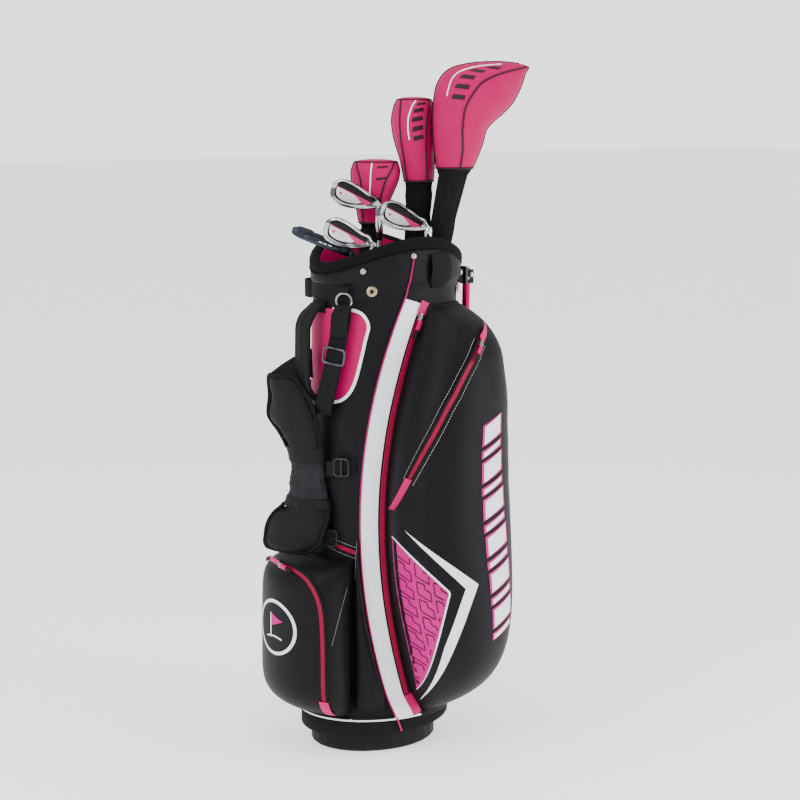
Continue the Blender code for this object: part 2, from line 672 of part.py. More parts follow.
def blade_head(club, stations, hosel_length, finish, collection, cutters):
    """A blade with its hosel. The shaft ends in the hosel's lower end."""
    heel, toe, sole = blade_frame(club)
    rings = []
    for along, low, high, thin, thick in stations:
        base = heel + toe * along
        rings.append([base + sole * low - AWAY * thin / 2, base + sole * low + AWAY * thin / 2,
                      base + sole * high + AWAY * thick / 2, base + sole * high - AWAY * thick / 2])
    head = loft(club + "_head", rings, finish, collection)
    _, direction = club_line(club)
    neck = rod("hosel", heel - direction * hosel_length, heel + direction * 0.003, 0.0066, 0.0066, finish, cutters,
               sides=10)
    boolean(head, hide_helper(neck), "UNION")
    return heel - direction * hosel_length


# A covered club's outline from its hem to its crown, seen along AWAY:
# (across and up from the middle of the hem, half-width, half-depth, tilt in degrees).
COVERS = {
    "driver": ((0.1250, 0.0195, 0.987), [(0, 0, 0.0300, 0.030, 0), (0.006, 0.037, 0.040, 0.040, 2),
               (0.009, 0.066, 0.045, 0.047, 0), (0.018, 0.100, 0.055, 0.052, -17),
               (0.033, 0.125, 0.0640, 0.053, -17), (0.048, 0.1470, 0.0620, 0.050, -17),
               (0.069, 0.161, 0.048, 0.042, -18), (0.095, 0.1700, 0.026, 0.027, -20),
               (0.119, 0.1725, 0.007, 0.010, -22)]),
    "fairway": ((0.065, 0.052, 0.964), [(0, 0, 0.0240, 0.025, 0), (-0.003, 0.037, 0.0285, 0.033, 0),
                (-0.0065, 0.060, 0.0318, 0.039, 0), (-0.0094, 0.083, 0.0345, 0.043, 0),
                (-0.0108, 0.107, 0.0350, 0.044, 0), (-0.0090, 0.128, 0.0325, 0.041, 0),
                (-0.0080, 0.1395, 0.028, 0.034, 0)]),
    "hybrid": ((-0.0163, 0.038, 0.894), [(0, 0, 0.0200, 0.020, 0), (0.001, 0.030, 0.0270, 0.024, 0),
               (0.005, 0.063, 0.0365, 0.028, 0), (0.0065, 0.080, 0.0405, 0.029, 0),
               (0.007, 0.093, 0.0400, 0.029, 0), (0.0075, 0.1045, 0.0360, 0.026, 0)]),
}
COVER_WALL = 0.004
SOCK_BOTTOM = {"driver": 0.842, "fairway": 0.838, "hybrid": 0.835}
SOCK_R = {"driver": 0.0205, "fairway": 0.0215, "hybrid": 0.0160}
COVER_POINTS = 14


def cover_ring(club, station, shrink, share=1.0):
    """One ring round a covered head, pulled in by shrink, or scaled by share about its middle."""
    (across, away, z), _ = COVERS[club]
    shift, rise, half_wide, half_deep, tilt = station
    t = math.radians(tilt)
    side = ACROSS * math.cos(t) + UP * math.sin(t)
    centre = at(across + shift, away, z + rise)
    ring = []
    for i in range(COVER_POINTS):
        a = 2 * math.pi * i / COVER_POINTS
        ring.append(centre + side * max(0.002, half_wide * share - shrink) * math.cos(a)
                    + AWAY * max(0.002, half_deep * share - shrink) * math.sin(a))
    return ring


def covered_head(club, fabric, knit, head_finish, collection):
    """The cover, its sock and the wood inside it. Gives the point where the shaft ends."""
    _, stations = COVERS[club]
    outer = [cover_ring(club, s, 0.0) for s in stations]
    inner = [cover_ring(club, s, COVER_WALL) for s in stations[:-1]]
    loft(club + "_cover", inner[::-1] + outer, fabric, collection)
    core = [cover_ring(club, s, COVER_WALL + 0.003, 0.84) for s in stations[2:-1]]
    neck_at = on_club(club, core[0][0].z - 0.030)
    _, direction = club_line(club)
    neck = []
    for lift in (0.0, 0.012):
        centre = neck_at + direction * lift
        neck.append([centre + 0.0085 * (ACROSS * math.cos(2 * math.pi * i / COVER_POINTS)
                                        + AWAY * math.sin(2 * math.pi * i / COVER_POINTS))
                     for i in range(COVER_POINTS)])
    loft(club + "_head", neck + core, head_finish, collection)
    sock(club, knit, collection)
    return neck_at


def sock(club, knit, collection):
    """The knitted tube that hangs from the cover's hem round the shaft."""
    (across, away, z), stations = COVERS[club]
    hem = at(across, away, z - GAP)
    low = on_club(club, SOCK_BOTTOM[club])
    rings = []
    for share, radius in ((0.0, stations[0][2] - 0.001), (0.14, SOCK_R[club] + 0.0015), (1.0, SOCK_R[club])):
        centre = hem.lerp(low, share)
        rings.append((centre, radius))

    def circle(centre, radius):
        return [centre + radius * (ACROSS * math.cos(2 * math.pi * i / COVER_POINTS)
                                   + AWAY * math.sin(2 * math.pi * i / COVER_POINTS)) for i in range(COVER_POINTS)]

    outside = [circle(c, r) for c, r in rings]
    inside = [circle(c, r - 0.003) for c, r in reversed(rings)]
    loft(club + "_sock", outside + inside + outside[:1], knit, collection, caps=(False, False))


def clubs(m, collection, cutters):
    for club in CLUBS:
        if club in COVERS:
            top = covered_head(club, m["pink_fabric"], m["webbing"], m["graphite"], collection)
        elif club == "putter":
            top = blade_head(club, PUTTER_BLADE, 0.030, m["dark_metal"], collection, cutters)
        else:
            top = blade_head(club, BLADE, 0.045, m["chrome"], collection, cutters)
        grip(club, m["rubber"], collection)
        shaft(club, top, m["graphite"] if club in COVERS else m["steel"], collection)


# ---- Zip sliders --------------------------------------------------------------------------------------------------------
ZIP_LIFT = 0.0042
LONG_ZIP_Z = (0.745, 0.42, 0.090)
DIAGONAL_ZIP = ((0.362, 0.701), (0.182, 0.605), (0.090, 0.516))     # (share across the pocket, height)
BALL_ZIP = ((0.52, 0.3225), (0.785, 0.306), (0.865, 0.250))


def zip_tracks():
    """Three points along each zip, from where its slider rests to where it opens to."""
    tracks = {"zip_slider_ball": [pocket_point(ball_edges, ball_fullness, across, z, ZIP_LIFT)
                                  for across, z in BALL_ZIP]}
    for side, hand in ((1, "right"), (-1, "left")):
        tracks["zip_slider_long_" + hand] = [on_tube(side * (band_end_angle(z) + ZIP_ANGLE / 2), z, ZIP_LIFT)
                                             for z in LONG_ZIP_Z]
        tracks["zip_slider_diagonal_" + hand] = [
            pocket_point(side_edges, side_fullness, across, z, ZIP_LIFT, side) for across, z in DIAGONAL_ZIP
        ]
    return tracks


def circle_through(a, b, c):
    """(the centre, the axis) of the circle through three points, turning from a towards c."""
    axis = (b - a).cross(c - b).normalized()
    ab, ac = b - a, c - a
    normal = ab.cross(ac)
    to_centre = (normal.cross(ab) * ac.length_squared + ac.cross(normal) * ab.length_squared) / (
        2 * normal.length_squared)
    return a + to_centre, axis


def zip_slider(name, track, finish, collection):
    """A slider and its pull, as one thin plate lying along the zip."""
    centre, axis = circle_through(*track)
    place = track[0]
    down = axis.cross(place - centre).normalized()
    flat = Vector((place.x, place.y - tube_at(place.z)[2], 0.0))
    out = (flat - down * flat.dot(down)).normalized()
    side = out.cross(down)
    rings = []
    for along, half, rise in ((-0.006, 0.0036, 0.004), (0.006, 0.0040, 0.005), (0.010, 0.0028, 0.004),
                              (0.026, 0.0030, 0.003), (0.030, 0.0038, 0.003), (0.040, 0.0036, 0.003)):
        base = place + down * along
        rings.append([base - side * half, base + side * half, base + side * half + out * rise,
                      base - side * half + out * rise])
    return loft(name, rings, finish, collection)


# ---- Joint axes -----------------------------------------------------------------------------------------------------------

def hang_on(name, origin, axis, nodes, collection):
    """An empty on a joint's axis, its Z along the axis, which carries the pieces that move."""
    empty = bpy.data.objects.new(name, None)
    empty.empty_display_size = 0.03
    empty.matrix_world = along_axis(origin, axis)
    collection.objects.link(empty)
    for node in nodes:
        obj = bpy.data.objects[node]
        obj.parent = empty
        obj.matrix_parent_inverse = empty.matrix_world.inverted()


def joints(collection):
    hang_on("foot_axis", FOOT_HINGE, Vector((1, 0, 0)), ["foot_plate"], collection)
    low, high = (on_tube(180, z, ROD_OUT) for z in ROD_Z)
    hang_on("actuator_axis", low, high - low, ["actuator_rod", "actuator_yoke"], collection)
    for side, hand in ((1, "right"), (-1, "left")):
        hang_on("leg_axis_" + hand, leg_pivot(side), leg_axis(side), ["leg_" + hand, "leg_tip_" + hand], collection)
    for club in CLUBS:
        butt, direction = club_line(club)
        hang_on(club + "_axis", butt, direction, [club + end for end in ("_grip", "_shaft", "_head")], collection)
        if club in COVERS:
            hang_on(club + "_cover_axis", on_club(club, COVERS[club][0][2]), direction,
                    [club + "_cover", club + "_sock"], collection)
    for name, track in zip_tracks().items():
        centre, axis = circle_through(*track)
        hang_on(name + "_axis", centre, axis, [name], collection)
    hang_on("strap_glide_axis", on_tube(*GLIDE_AT), on_tube(*WEBBING[1]) - on_tube(*WEBBING[3]), ["strap_glide"],
            collection)


def main():
    clear_scene()
    collection = bpy.data.collections.new("golf_club_set")
    cutters = bpy.data.collections.new("cutters")
    for made in (collection, cutters):
        bpy.context.scene.collection.children.link(made)
    m = make_materials()
    base_collar(m["black_plastic"], collection, cutters)
    foot_plate(m["rubber"], collection, cutters)
    rod("foot_hinge_pin", FOOT_HINGE + Vector((-0.0385, 0, 0)), FOOT_HINGE + Vector((0.0385, 0, 0)), HINGE_PIN_R,
        HINGE_PIN_R, m["steel"], collection, sides=10)
    body_shell(m["black_fabric"], collection)
    top_collar(m["black_plastic"], collection)
    cuff_pad(m["black_padding"], collection)
    club_divider(m["black_plastic"], collection, cutters)
    pockets(m["black_fabric"], collection)
    carry_handle(m["black_padding"], collection)
    hip_pad(m["black_padding"], collection)
    strap_parts(m["webbing"], m["black_padding"], collection)
    strap_glide(m["black_plastic"], collection)
    d_ring(m["steel"], collection)
    leg_parts(m["pink_metal"], m["black_plastic"], m["rubber"], m["steel"], collection, cutters)
    actuator(m["steel"], m["black_plastic"], collection)
    clubs(m, collection, cutters)
    for name, track in zip_tracks().items():
        zip_slider(name, track, m["zip_pink"], collection)
    joints(collection)


main()
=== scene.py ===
"""A golf stand bag with seven clubs: the fabric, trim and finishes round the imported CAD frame."""
import math

import bmesh
import bpy
from mathutils import Matrix, Vector, noise


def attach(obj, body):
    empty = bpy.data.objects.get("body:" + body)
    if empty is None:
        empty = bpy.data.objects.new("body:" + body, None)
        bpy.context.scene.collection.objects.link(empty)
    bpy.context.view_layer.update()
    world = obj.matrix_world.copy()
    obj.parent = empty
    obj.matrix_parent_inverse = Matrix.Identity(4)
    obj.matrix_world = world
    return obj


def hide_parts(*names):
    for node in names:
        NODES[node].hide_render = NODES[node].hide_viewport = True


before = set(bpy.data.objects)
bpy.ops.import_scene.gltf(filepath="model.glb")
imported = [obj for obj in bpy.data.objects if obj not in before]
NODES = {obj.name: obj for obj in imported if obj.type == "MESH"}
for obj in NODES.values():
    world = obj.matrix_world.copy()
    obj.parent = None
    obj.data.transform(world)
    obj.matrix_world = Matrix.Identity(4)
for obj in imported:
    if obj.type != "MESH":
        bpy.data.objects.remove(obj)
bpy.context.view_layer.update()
UP = Vector((0.0, 0.0, 1.0))

# ---- The bag's oval, as the CAD has it -----------------------------------------------------------
TUBE_LOW, TUBE_HIGH = (0.100, 0.118, -0.015), (0.105, 0.129, 0.010)   # half-width X, half-width Y, middle Y
TUBE_LOW_Z, TUBE_HIGH_Z = 0.05, 0.80
RIM_Z, RIM_SADDLE = 0.857, 0.021
FLARE, FLARE_LOW_Z, FLARE_HIGH_Z = 0.0150, 0.066, 0.105    # the skin stands out over the base collar
SIDES = ((1, "right"), (-1, "left"))
ACROSS = Vector((0.574, 0.819, 0.0)).normalized()
AWAY = Vector((-0.819, 0.574, 0.0)).normalized()


def at(across, away, z):
    """A point by its measures across the bag's front, away from it, and up."""
    return ACROSS * across + AWAY * away + UP * z


def smooth(share):
    """A share kept within 0 to 1 and eased at both ends."""
    share = min(1.0, max(0.0, share))
    return share * share * (3.0 - 2.0 * share)


def swell(share, power):
    """Fullness from 0 at both ends of a share to 1 in its middle."""
    return max(0.0, 1.0 - abs(2.0 * share - 1.0) ** power) ** (1.0 / power)


def spaced(low, high, count):
    return [low + (high - low) * i / (count - 1) for i in range(count)]


def eased(count):
    """Shares from 0 to 1 in count steps, closer together at both ends."""
    return [0.5 - 0.5 * math.cos(math.pi * i / count) for i in range(count + 1)]


def circle(count):
    """The angles of count points round a circle, in radians."""
    return [2 * math.pi * i / count for i in range(count)]


def degrees(count):
    return [360.0 * i / count for i in range(count)]


def squared(value, power):
    """A sine or cosine drawn out towards -1 or 1, which squares off its circle."""
    return abs(value) ** power * (1 if value > 0 else -1)


def rounded_square(count, power):
    return [(squared(math.cos(a), power), squared(math.sin(a), power)) for a in circle(count)]


def on_tube(angle, z, out=0.0):
    """A point out from the tube at an angle from the strap side (0) towards the right-hand pocket (90)."""
    share = (z - TUBE_LOW_Z) / (TUBE_HIGH_Z - TUBE_LOW_Z)
    half_x, half_y, middle = [low + share * (high - low) for low, high in zip(TUBE_LOW, TUBE_HIGH)]
    a = math.radians(angle)
    normal = Vector((math.sin(a) / half_x, -math.cos(a) / half_y, 0.0)).normalized()
    return Vector((half_x * math.sin(a), middle - half_y * math.cos(a), z)) + normal * out


def rim_z(angle):
    return RIM_Z - RIM_SADDLE * math.cos(math.radians(2 * angle))


def creases(point, size, depth, stretch=(1.0, 1.0, 1.0), seed=0.0):
    """Soft folds in cloth: ridges of noise, from -depth to depth."""
    p = Vector((point.x * stretch[0] / size + seed, point.y * stretch[1] / size, point.z * stretch[2] / size))
    return depth * (1.0 - 2.0 * abs(noise.noise(p))) * (0.6 + 0.4 * noise.noise(p * 0.5))


def flare(z):
    return FLARE * smooth((FLARE_HIGH_Z - z) / (FLARE_HIGH_Z - FLARE_LOW_Z))


def on_skin(angle, z, lift=0.0):
    """A point on the bag's fabric body, with its folds."""
    flat = on_tube(angle, z)
    fold = creases(flat, 0.11, 0.0010, (1.0, 1.0, 0.55)) + creases(flat, 0.05, 0.0004, (1.0, 1.0, 1.8), 4.0)
    return on_tube(angle, z, 0.0009 + flare(z) + fold * smooth((z - 0.06) / 0.05) + lift)


# ---- Pocket surfaces -----------------------------------------------------------------------------
SIDE_Z = (0.058, 0.764)
SIDE_DEPTH_HIGH, SIDE_DEPTH_LOW = 0.112, 0.144
BALL_Z, BALL_DEPTH, BALL_ANGLES = (0.064, 0.338), 0.086, (-48.0, 40.0)
SIDE_RISE, BALL_RISE = ((6.6, 0.95), (8.0, 1.2)), ((6.0, 1.2), (9.0, 2.0))
VALUABLES_Z, VALUABLES_DEPTH = (0.064, 0.372), 0.022
BAND_ANGLE, ZIP_ANGLE = 15.0, 6.5
POCKET_EDGE, POCKET_GAP, POCKETS_APART = 0.005, 0.0016, 1.5


def waist_curve(z):
    """0 at the bag's waist, growing to 1 towards both ends of the side pockets."""
    return ((z - 0.42) / 0.36) ** 2


def band_end(z):
    """The angle where the white band gives way to the long zip."""
    return 59.0 + 32.0 * waist_curve(z)


def side_back(z):
    """The angle of the side pockets' rear seam."""
    return 152.0 - 14.0 * waist_curve(z)


def pocket_base(z):
    """How far a pocket's back stands off the tube: further over the base collar."""
    return POCKET_GAP + 0.0130 * smooth((0.0775 - z) / 0.013)


def over_base(z, fullness):
    """How far out a pocket's face lies, never nearer than its sewn edge."""
    base = pocket_base(z)
    return base + POCKET_EDGE + max(0.0, fullness - POCKET_EDGE - base)


def rise(up, low, high):
    """How full a pocket is at a share of its height: it slopes out from its sewn ends, then runs straight."""
    power, root = low if up < 0.5 else high
    return max(0.0, 1.0 - abs(2.0 * up - 1.0) ** power) ** (1.0 / root)


def side_pocket(across, z, lift=0.0, side=1):
    up = (z - SIDE_Z[0]) / (SIDE_Z[1] - SIDE_Z[0])
    depth = SIDE_DEPTH_HIGH + (SIDE_DEPTH_LOW - SIDE_DEPTH_HIGH) * smooth((0.66 - z) / 0.46)
    fullness = depth * rise(up, *SIDE_RISE) * swell(across, 2.4)
    first, last = band_end(z) + ZIP_ANGLE, side_back(z)
    place = first + across * (last - first)
    flat = on_tube(place, z)
    lively = swell(across, 3.0) * swell(up, 4.0)
    upper = smooth((z - 0.36) / 0.2)
    fold = creases(flat, 0.13, 0.0036, (1.0, 1.0, 0.7), 7.0 + side) + upper * creases(
        Vector((flat.x + 0.9 * flat.z, flat.y, flat.z)), 0.06, 0.0034, (0.6, 0.6, 0.6), 3.0)
    return on_tube(side * place, z, over_base(z, fullness) + fold * lively + lift)


def side_face(side, start):
    """One side's pocket as a surface of (share across, height), from a start just inside its front edge."""
    return lambda u, v, lift=0.0: side_pocket(max(start, u), v, lift, side)


def ball_pocket(across, z, lift=0.0):
    up = (z - BALL_Z[0]) / (BALL_Z[1] - BALL_Z[0])
    fullness = BALL_DEPTH * rise(up, *BALL_RISE) * swell(across, 3.2)
    place = BALL_ANGLES[0] + across * (BALL_ANGLES[1] - BALL_ANGLES[0])
    flat = on_tube(place, z)
    fold = creases(flat, 0.09, 0.0016, (1.0, 1.0, 0.8), 2.0) * swell(across, 3.0) * swell(up, 4.0)
    return on_tube(place, z, over_base(z, fullness) + fold + lift)


def small_edges(z):
    """The small pocket's sides lie between the ball pocket and the white band."""
    first = BALL_ANGLES[1] + POCKETS_APART
    return first, max(first + 2.5, band_end(z) - BAND_ANGLE - POCKETS_APART)


def small_pocket(across, z, lift=0.0):
    up = (z - VALUABLES_Z[0]) / (VALUABLES_Z[1] - VALUABLES_Z[0])
    first, last = small_edges(z)
    place = first + across * (last - first)
    flat = on_tube(place, z)
    fold = creases(flat, 0.06, 0.0014, (1.0, 1.0, 1.2), 5.0) * swell(across, 3.0) * swell(up, 4.0)
    fullness = VALUABLES_DEPTH * swell(up, 3.0) * swell(across, 2.4)
    return on_tube(place, z, over_base(z, fullness) + fold + lift)


# ---- Materials -----------------------------------------------------------------------------------
WHITE = (1.0, 1.0, 1.0, 1.0)


def set_inputs(node, values):
    """Gives a shader node's inputs their values by name."""
    for name, value in values.items():
        node.inputs[name].default_value = value


class Finish:
    """A procedural material, built up in steps."""

    def __init__(self, name, colour, roughness, metallic=0.0, specular=0.5):
        self.material = bpy.data.materials.new(name)
        self.material.use_nodes = True
        self.tree = self.material.node_tree
        self.shader = next(n for n in self.tree.nodes if n.type == "BSDF_PRINCIPLED")
        set_inputs(self.shader, {"Base Color": (*colour, 1.0), "Roughness": roughness, "Metallic": metallic,
                                 "Specular IOR Level": specular})
        self.colour = colour
        self.height = None
        self.place = self.add("ShaderNodeTexCoord").outputs["Object"]

    def add(self, kind, **settings):
        node = self.tree.nodes.new(kind)
        for key, value in settings.items():
            setattr(node, key, value)
        return node

    def join(self, out, into):
        self.tree.links.new(out, into)

    def scaled(self, scale, turn=(0.0, 0.0, 0.0)):
        node = self.add("ShaderNodeMapping")
        set_inputs(node, {"Scale": scale, "Rotation": turn})
        self.join(self.place, node.inputs["Vector"])
        return node.outputs["Vector"]

    def noise(self, scale, detail=3.0, stretch=(1.0, 1.0, 1.0), distortion=0.0):
        node = self.add("ShaderNodeTexNoise")
        set_inputs(node, {"Scale": scale, "Detail": detail, "Distortion": distortion})
        self.join(self.scaled(stretch), node.inputs["Vector"])
        return node.outputs["Fac"]

    def waves(self, scale, turn, distortion=0.4):
        node = self.add("ShaderNodeTexWave", wave_type="BANDS", bands_direction="X", wave_profile="SIN")
        set_inputs(node, {"Scale": scale, "Detail": 1.0, "Distortion": distortion})
        self.join(self.scaled((1.0, 1.0, 1.0), turn), node.inputs["Vector"])
        return node.outputs["Fac"]

    def weighted(self, mask, weight, other):
        """A mask times its weight, plus another mask."""
        return self.maths("ADD", self.maths("MULTIPLY", mask, weight), other)

    def maths(self, operation, first, second):
        node = self.add("ShaderNodeMath", operation=operation)
        for socket, value in zip(node.inputs, (first, second)):
            if isinstance(value, float):
                socket.default_value = value
            else:
                self.join(value, socket)
        return node.outputs[0]

    def bump(self, height, distance, strength=1.0):
        node = self.add("ShaderNodeBump")
        set_inputs(node, {"Distance": distance, "Strength": strength})
        self.join(height, node.inputs["Height"])
        if self.height is not None:
            self.join(self.height, node.inputs["Normal"])
        self.height = node.outputs["Normal"]
        self.join(self.height, self.shader.inputs["Normal"])
        return self

    def vary(self, mask, other, low, high):
        """Mixes the colour towards another where the mask is high."""
        ramp = self.add("ShaderNodeValToRGB")
        for stop, place, colour in zip(ramp.color_ramp.elements, (low, high), (self.colour, other)):
            stop.position, stop.color = place, (*colour, 1.0)
        self.join(mask, ramp.inputs["Fac"])
        self.join(ramp.outputs["Color"], self.shader.inputs["Base Color"])
        return self

    def wear(self, mask, low, high):
        """Roughness between two values, by the mask."""
        node = self.add("ShaderNodeMapRange")
        set_inputs(node, {"To Min": low, "To Max": high})
        self.join(mask, node.inputs["Value"])
        self.join(node.outputs["Result"], self.shader.inputs["Roughness"])
        return self

    def sheen(self, weight):
        set_inputs(self.shader, {"Sheen Weight": weight, "Sheen Roughness": 0.5, "Sheen Tint": WHITE})
        return self


def scaled_colour(colour, by):
    return tuple(min(1.0, c * by) for c in colour)


ALONG_Y = (0.0, math.pi / 2, 0.0)     # turns a finish's ribs from upright to level
WAVES_PER_THREAD = 0.32               # the wave texture's scale for one thread a metre


def woven(name, colour, thread=0.0009, roughness=0.75, sheen=0.1, relief=0.00015, specular=0.3, lighter=1.5):
    """Plain-weave cloth: two crossed runs of thread, with slight changes of tone."""
    f = Finish(name, colour, roughness, specular=specular)
    scale = 1.0 / thread / 2.0 * WAVES_PER_THREAD
    warp = f.waves(scale, (0.0, 0.0, 0.9))
    weft = f.waves(scale, ALONG_Y)
    weave = f.maths("MULTIPLY", warp, weft)
    f.bump(weave, relief)
    f.bump(f.noise(30.0, 4.0), 0.0012, 0.5)
    f.vary(f.weighted(weave, 0.35, f.noise(14.0, 5.0)), scaled_colour(colour, lighter), 0.35, 0.95)
    return f.sheen(sheen).material


def ribbed(name, colour, rib, turn, relief=0.0006, roughness=0.8, sheen=0.1, lighter=1.6):
    """Webbing or knit: ribs one way, and fine thread the other."""
    f = Finish(name, colour, roughness, specular=0.14)
    ribs = f.waves(WAVES_PER_THREAD / rib / 2.0, turn, 0.2)
    f.bump(ribs, relief)
    f.bump(f.noise(900.0, 2.0), 0.0001)
    f.vary(f.weighted(ribs, 0.4, f.noise(40.0, 3.0)), scaled_colour(colour, lighter), 0.3, 1.0)
    return f.sheen(sheen).material


def moulded(name, colour, roughness=0.55, grain=0.00008, scale=1400.0, specular=0.45):
    """Moulded plastic or rubber with a fine grain and handling wear."""
    f = Finish(name, colour, roughness, specular=specular)
    f.bump(f.noise(scale, 2.0), grain)
    f.wear(f.noise(22.0, 4.0), roughness - 0.10, roughness + 0.10)
    f.vary(f.noise(60.0, 5.0), scaled_colour(colour, 1.35), 0.4, 0.8)
    return f.material


def metal(name, colour, roughness, brushed=(1.0, 1.0, 12.0), scale=160.0, relief=0.00002):
    """Polished or brushed metal, with fine lines and smudges."""
    f = Finish(name, colour, roughness, metallic=1.0)
    lines = f.noise(scale, 3.0, brushed)
    f.bump(lines, relief)
    f.wear(f.noise(25.0, 5.0), max(0.03, roughness * 0.7), roughness * 1.5)
    f.vary(f.noise(45.0, 3.0), scaled_colour(colour, 0.86), 0.4, 0.75)
    return f.material


def polished(name, bright, dark, roughness):
    """Polished chrome with painted reflections: noise patches darken its colour in place of the dark shapes that it
    would mirror.
    """
    f = Finish(name, bright, roughness, metallic=1.0)
    f.bump(f.noise(60.0, 2.0), 0.000006)
    f.wear(f.noise(25.0, 5.0), roughness * 0.6, roughness * 1.8)
    # Painted reflection: the base colour turns near-black in patches, standing in for mirrored dark shapes.
    f.vary(f.noise(26.0, 1.5, (1.0, 1.0, 2.2), 0.8), dark, 0.52, 0.62)
    return f.material


def make_finishes():
    return {
        "bag_fabric": woven("bag fabric", (0.0036, 0.0036, 0.0043), 0.0011, 0.5, 0.0, 0.00018, 0.12),
        "cuff_fleece": woven("cuff fleece", (0.0034, 0.0034, 0.0038), 0.0012, 0.85, 0.01, 0.0002, 0.08),
        "mesh_fabric": woven("spacer mesh", (0.0105, 0.0110, 0.0130), 0.0028, 0.75, 0.01, 0.0007, 0.14, 2.2),
        "pad_fabric": woven("pad fabric", (0.0048, 0.0048, 0.0056), 0.0012, 0.6, 0.0, 0.0002, 0.14),
        "webbing": ribbed("webbing", (0.0048, 0.0048, 0.0054), 0.0022, ALONG_Y, sheen=0.0),
        "binding": ribbed("binding", (0.0040, 0.0040, 0.0046), 0.0014, (0.0, 0.0, 0.6), 0.0002, sheen=0.0),
        "knit": ribbed("sock knit", (0.0050, 0.0050, 0.0054), 0.0034, (0.0, 0.0, 0.3), 0.0009, 0.9, 0.01),
        "pink_fabric": woven("pink fabric", (0.40, 0.000, 0.080), 0.0010, 0.55, 0.0, 0.00014, 0.12, 1.12),
        "pink_panel": woven("pink panel", (0.44, 0.000, 0.088), 0.0010, 0.5, 0.0, 0.00012, 0.12, 1.15),
        "pink_lining": woven("pink lining", (0.50, 0.000, 0.100), 0.0010, 0.7, 0.0, 0.0001, 0.1, 1.1),
        "white_panel": woven("white panel", (0.88, 0.90, 0.94), 0.0013, 0.5, 0.0, 0.00006, 0.4, 1.03),
        "white_print": woven("white print", (0.86, 0.90, 0.92), 0.0010, 0.55, 0.0, 0.00006, 0.4, 1.04),
        "magenta_cord": ribbed("magenta cord", (0.24, 0.000, 0.070), 0.0012, ALONG_Y, 0.0001, 0.5, 0.0),
        "white_cord": ribbed("white cord", (0.88, 0.89, 0.91), 0.0012, (0.0, 0.0, 0.6), 0.0001, 0.5, 0.0, 1.03),
        "zip_tape": ribbed("zip tape", (0.0045, 0.0045, 0.0050), 0.0010, ALONG_Y, 0.0001, 0.7, 0.0),
        "zip_coil": ribbed("zip coil", (0.24, 0.000, 0.030), 0.0013, ALONG_Y, 0.0002, 0.5, 0.0, 1.2),
        "tab": woven("tab", (0.46, 0.000, 0.095), 0.0008, 0.45, 0.0, 0.0001, 0.2, 1.15),
        "thread": ribbed("thread", (0.30, 0.30, 0.31), 0.0008, ALONG_Y, 0.0001, 0.6),
        "pink_print": woven("pink print", (0.50, 0.001, 0.185), 0.0010, 0.5, 0.0, 0.00010, 0.15, 1.08),
        "dark_line": woven("dark line", (0.012, 0.001, 0.005), 0.0010, 0.6, 0.0, 0.00005, 0.3),
        "collar_plastic": moulded("collar plastic", (0.0062, 0.0062, 0.0068), 0.5, specular=0.2),
        "foot_rubber": moulded("foot rubber", (0.0055, 0.0055, 0.0058), 0.6, 0.00012, 900.0, 0.16),
        "tip_rubber": moulded("tip rubber", (0.0062, 0.0062, 0.0062), 0.7, 0.0001, 1200.0, 0.16),
        "grip_rubber": moulded("grip rubber", (0.0055, 0.0055, 0.0055), 0.65, 0.0003, 420.0, 0.16),
        "buckle": moulded("buckle plastic", (0.0070, 0.0070, 0.0075), 0.35, 0.00003, specular=0.3),
        "steel": metal("steel", (0.62, 0.62, 0.63), 0.25),
        "nickel": metal("nickel hardware", (0.40, 0.39, 0.37), 0.26),
        "gunmetal": metal("gunmetal", (0.085, 0.085, 0.095), 0.28),
        "brass": metal("old brass", (0.42, 0.34, 0.20), 0.32),
        # The chrome's dark second colour is painted reflection, not a stain or tarnish.
        "chrome": polished("iron chrome", (0.66, 0.67, 0.68), (0.10, 0.10, 0.11), 0.07),
        "satin_chrome": metal("satin chrome", (0.60, 0.61, 0.63), 0.30, (1.0, 14.0, 1.0), 300.0, 0.00003),
        "leg": metal("pink leg", (0.62, 0.002, 0.120), 0.26, (6.0, 6.0, 0.5), 120.0, 0.00001),
        "putter": metal("putter face", (0.034, 0.038, 0.048), 0.34, (1.0, 14.0, 1.0), 260.0),
        "graphite": moulded("graphite", (0.02, 0.02, 0.024), 0.25, 0.00001, 300.0),
        "black_enamel": moulded("black enamel", (0.004, 0.004, 0.0045), 0.25, 0.00001, 300.0, 0.16),
        "pink_enamel": moulded("pink enamel", (0.50, 0.001, 0.100), 0.35, 0.00001, 500.0),
        "badge_silver": metal("badge silver", (0.66, 0.66, 0.68), 0.34, (1.0, 16.0, 1.0), 500.0),
    }


M = make_finishes()


# ---- Building pieces -----------------------------------------------------------------------------
SHARP_FROM, SAME_POINT = math.radians(50), 1e-6


def dress(obj, finish, body):
    """Gives a piece its finish and the CAD body that it rides on."""
    obj.data.materials.clear()
    obj.data.materials.append(M[finish])
    if body:
        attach(obj, body)
    return obj


def linked(name, data):
    """A new object in the scene."""
    obj = bpy.data.objects.new(name, data)
    bpy.context.scene.collection.objects.link(obj)
    return obj


def shaded(name, bm, data, finish, body):
    """Closes off a mesh in the making: faces out, smooth between its sharp edges, and dressed."""
    bmesh.ops.recalc_face_normals(bm, faces=bm.faces)
    bm.to_mesh(data)
    bm.free()
    obj = linked(name, data)
    data.shade_smooth()
    data.set_sharp_from_angle(angle=SHARP_FROM)
    return dress(obj, finish, body)


def piece(name, verts, faces, finish, body="bag"):
    data = bpy.data.meshes.new(name)
    data.from_pydata([tuple(v) for v in verts], [], faces)
    bm = bmesh.new()
    bm.from_mesh(data)
    bmesh.ops.remove_doubles(bm, verts=bm.verts, dist=SAME_POINT)
    return shaded(name, bm, data, finish, body)


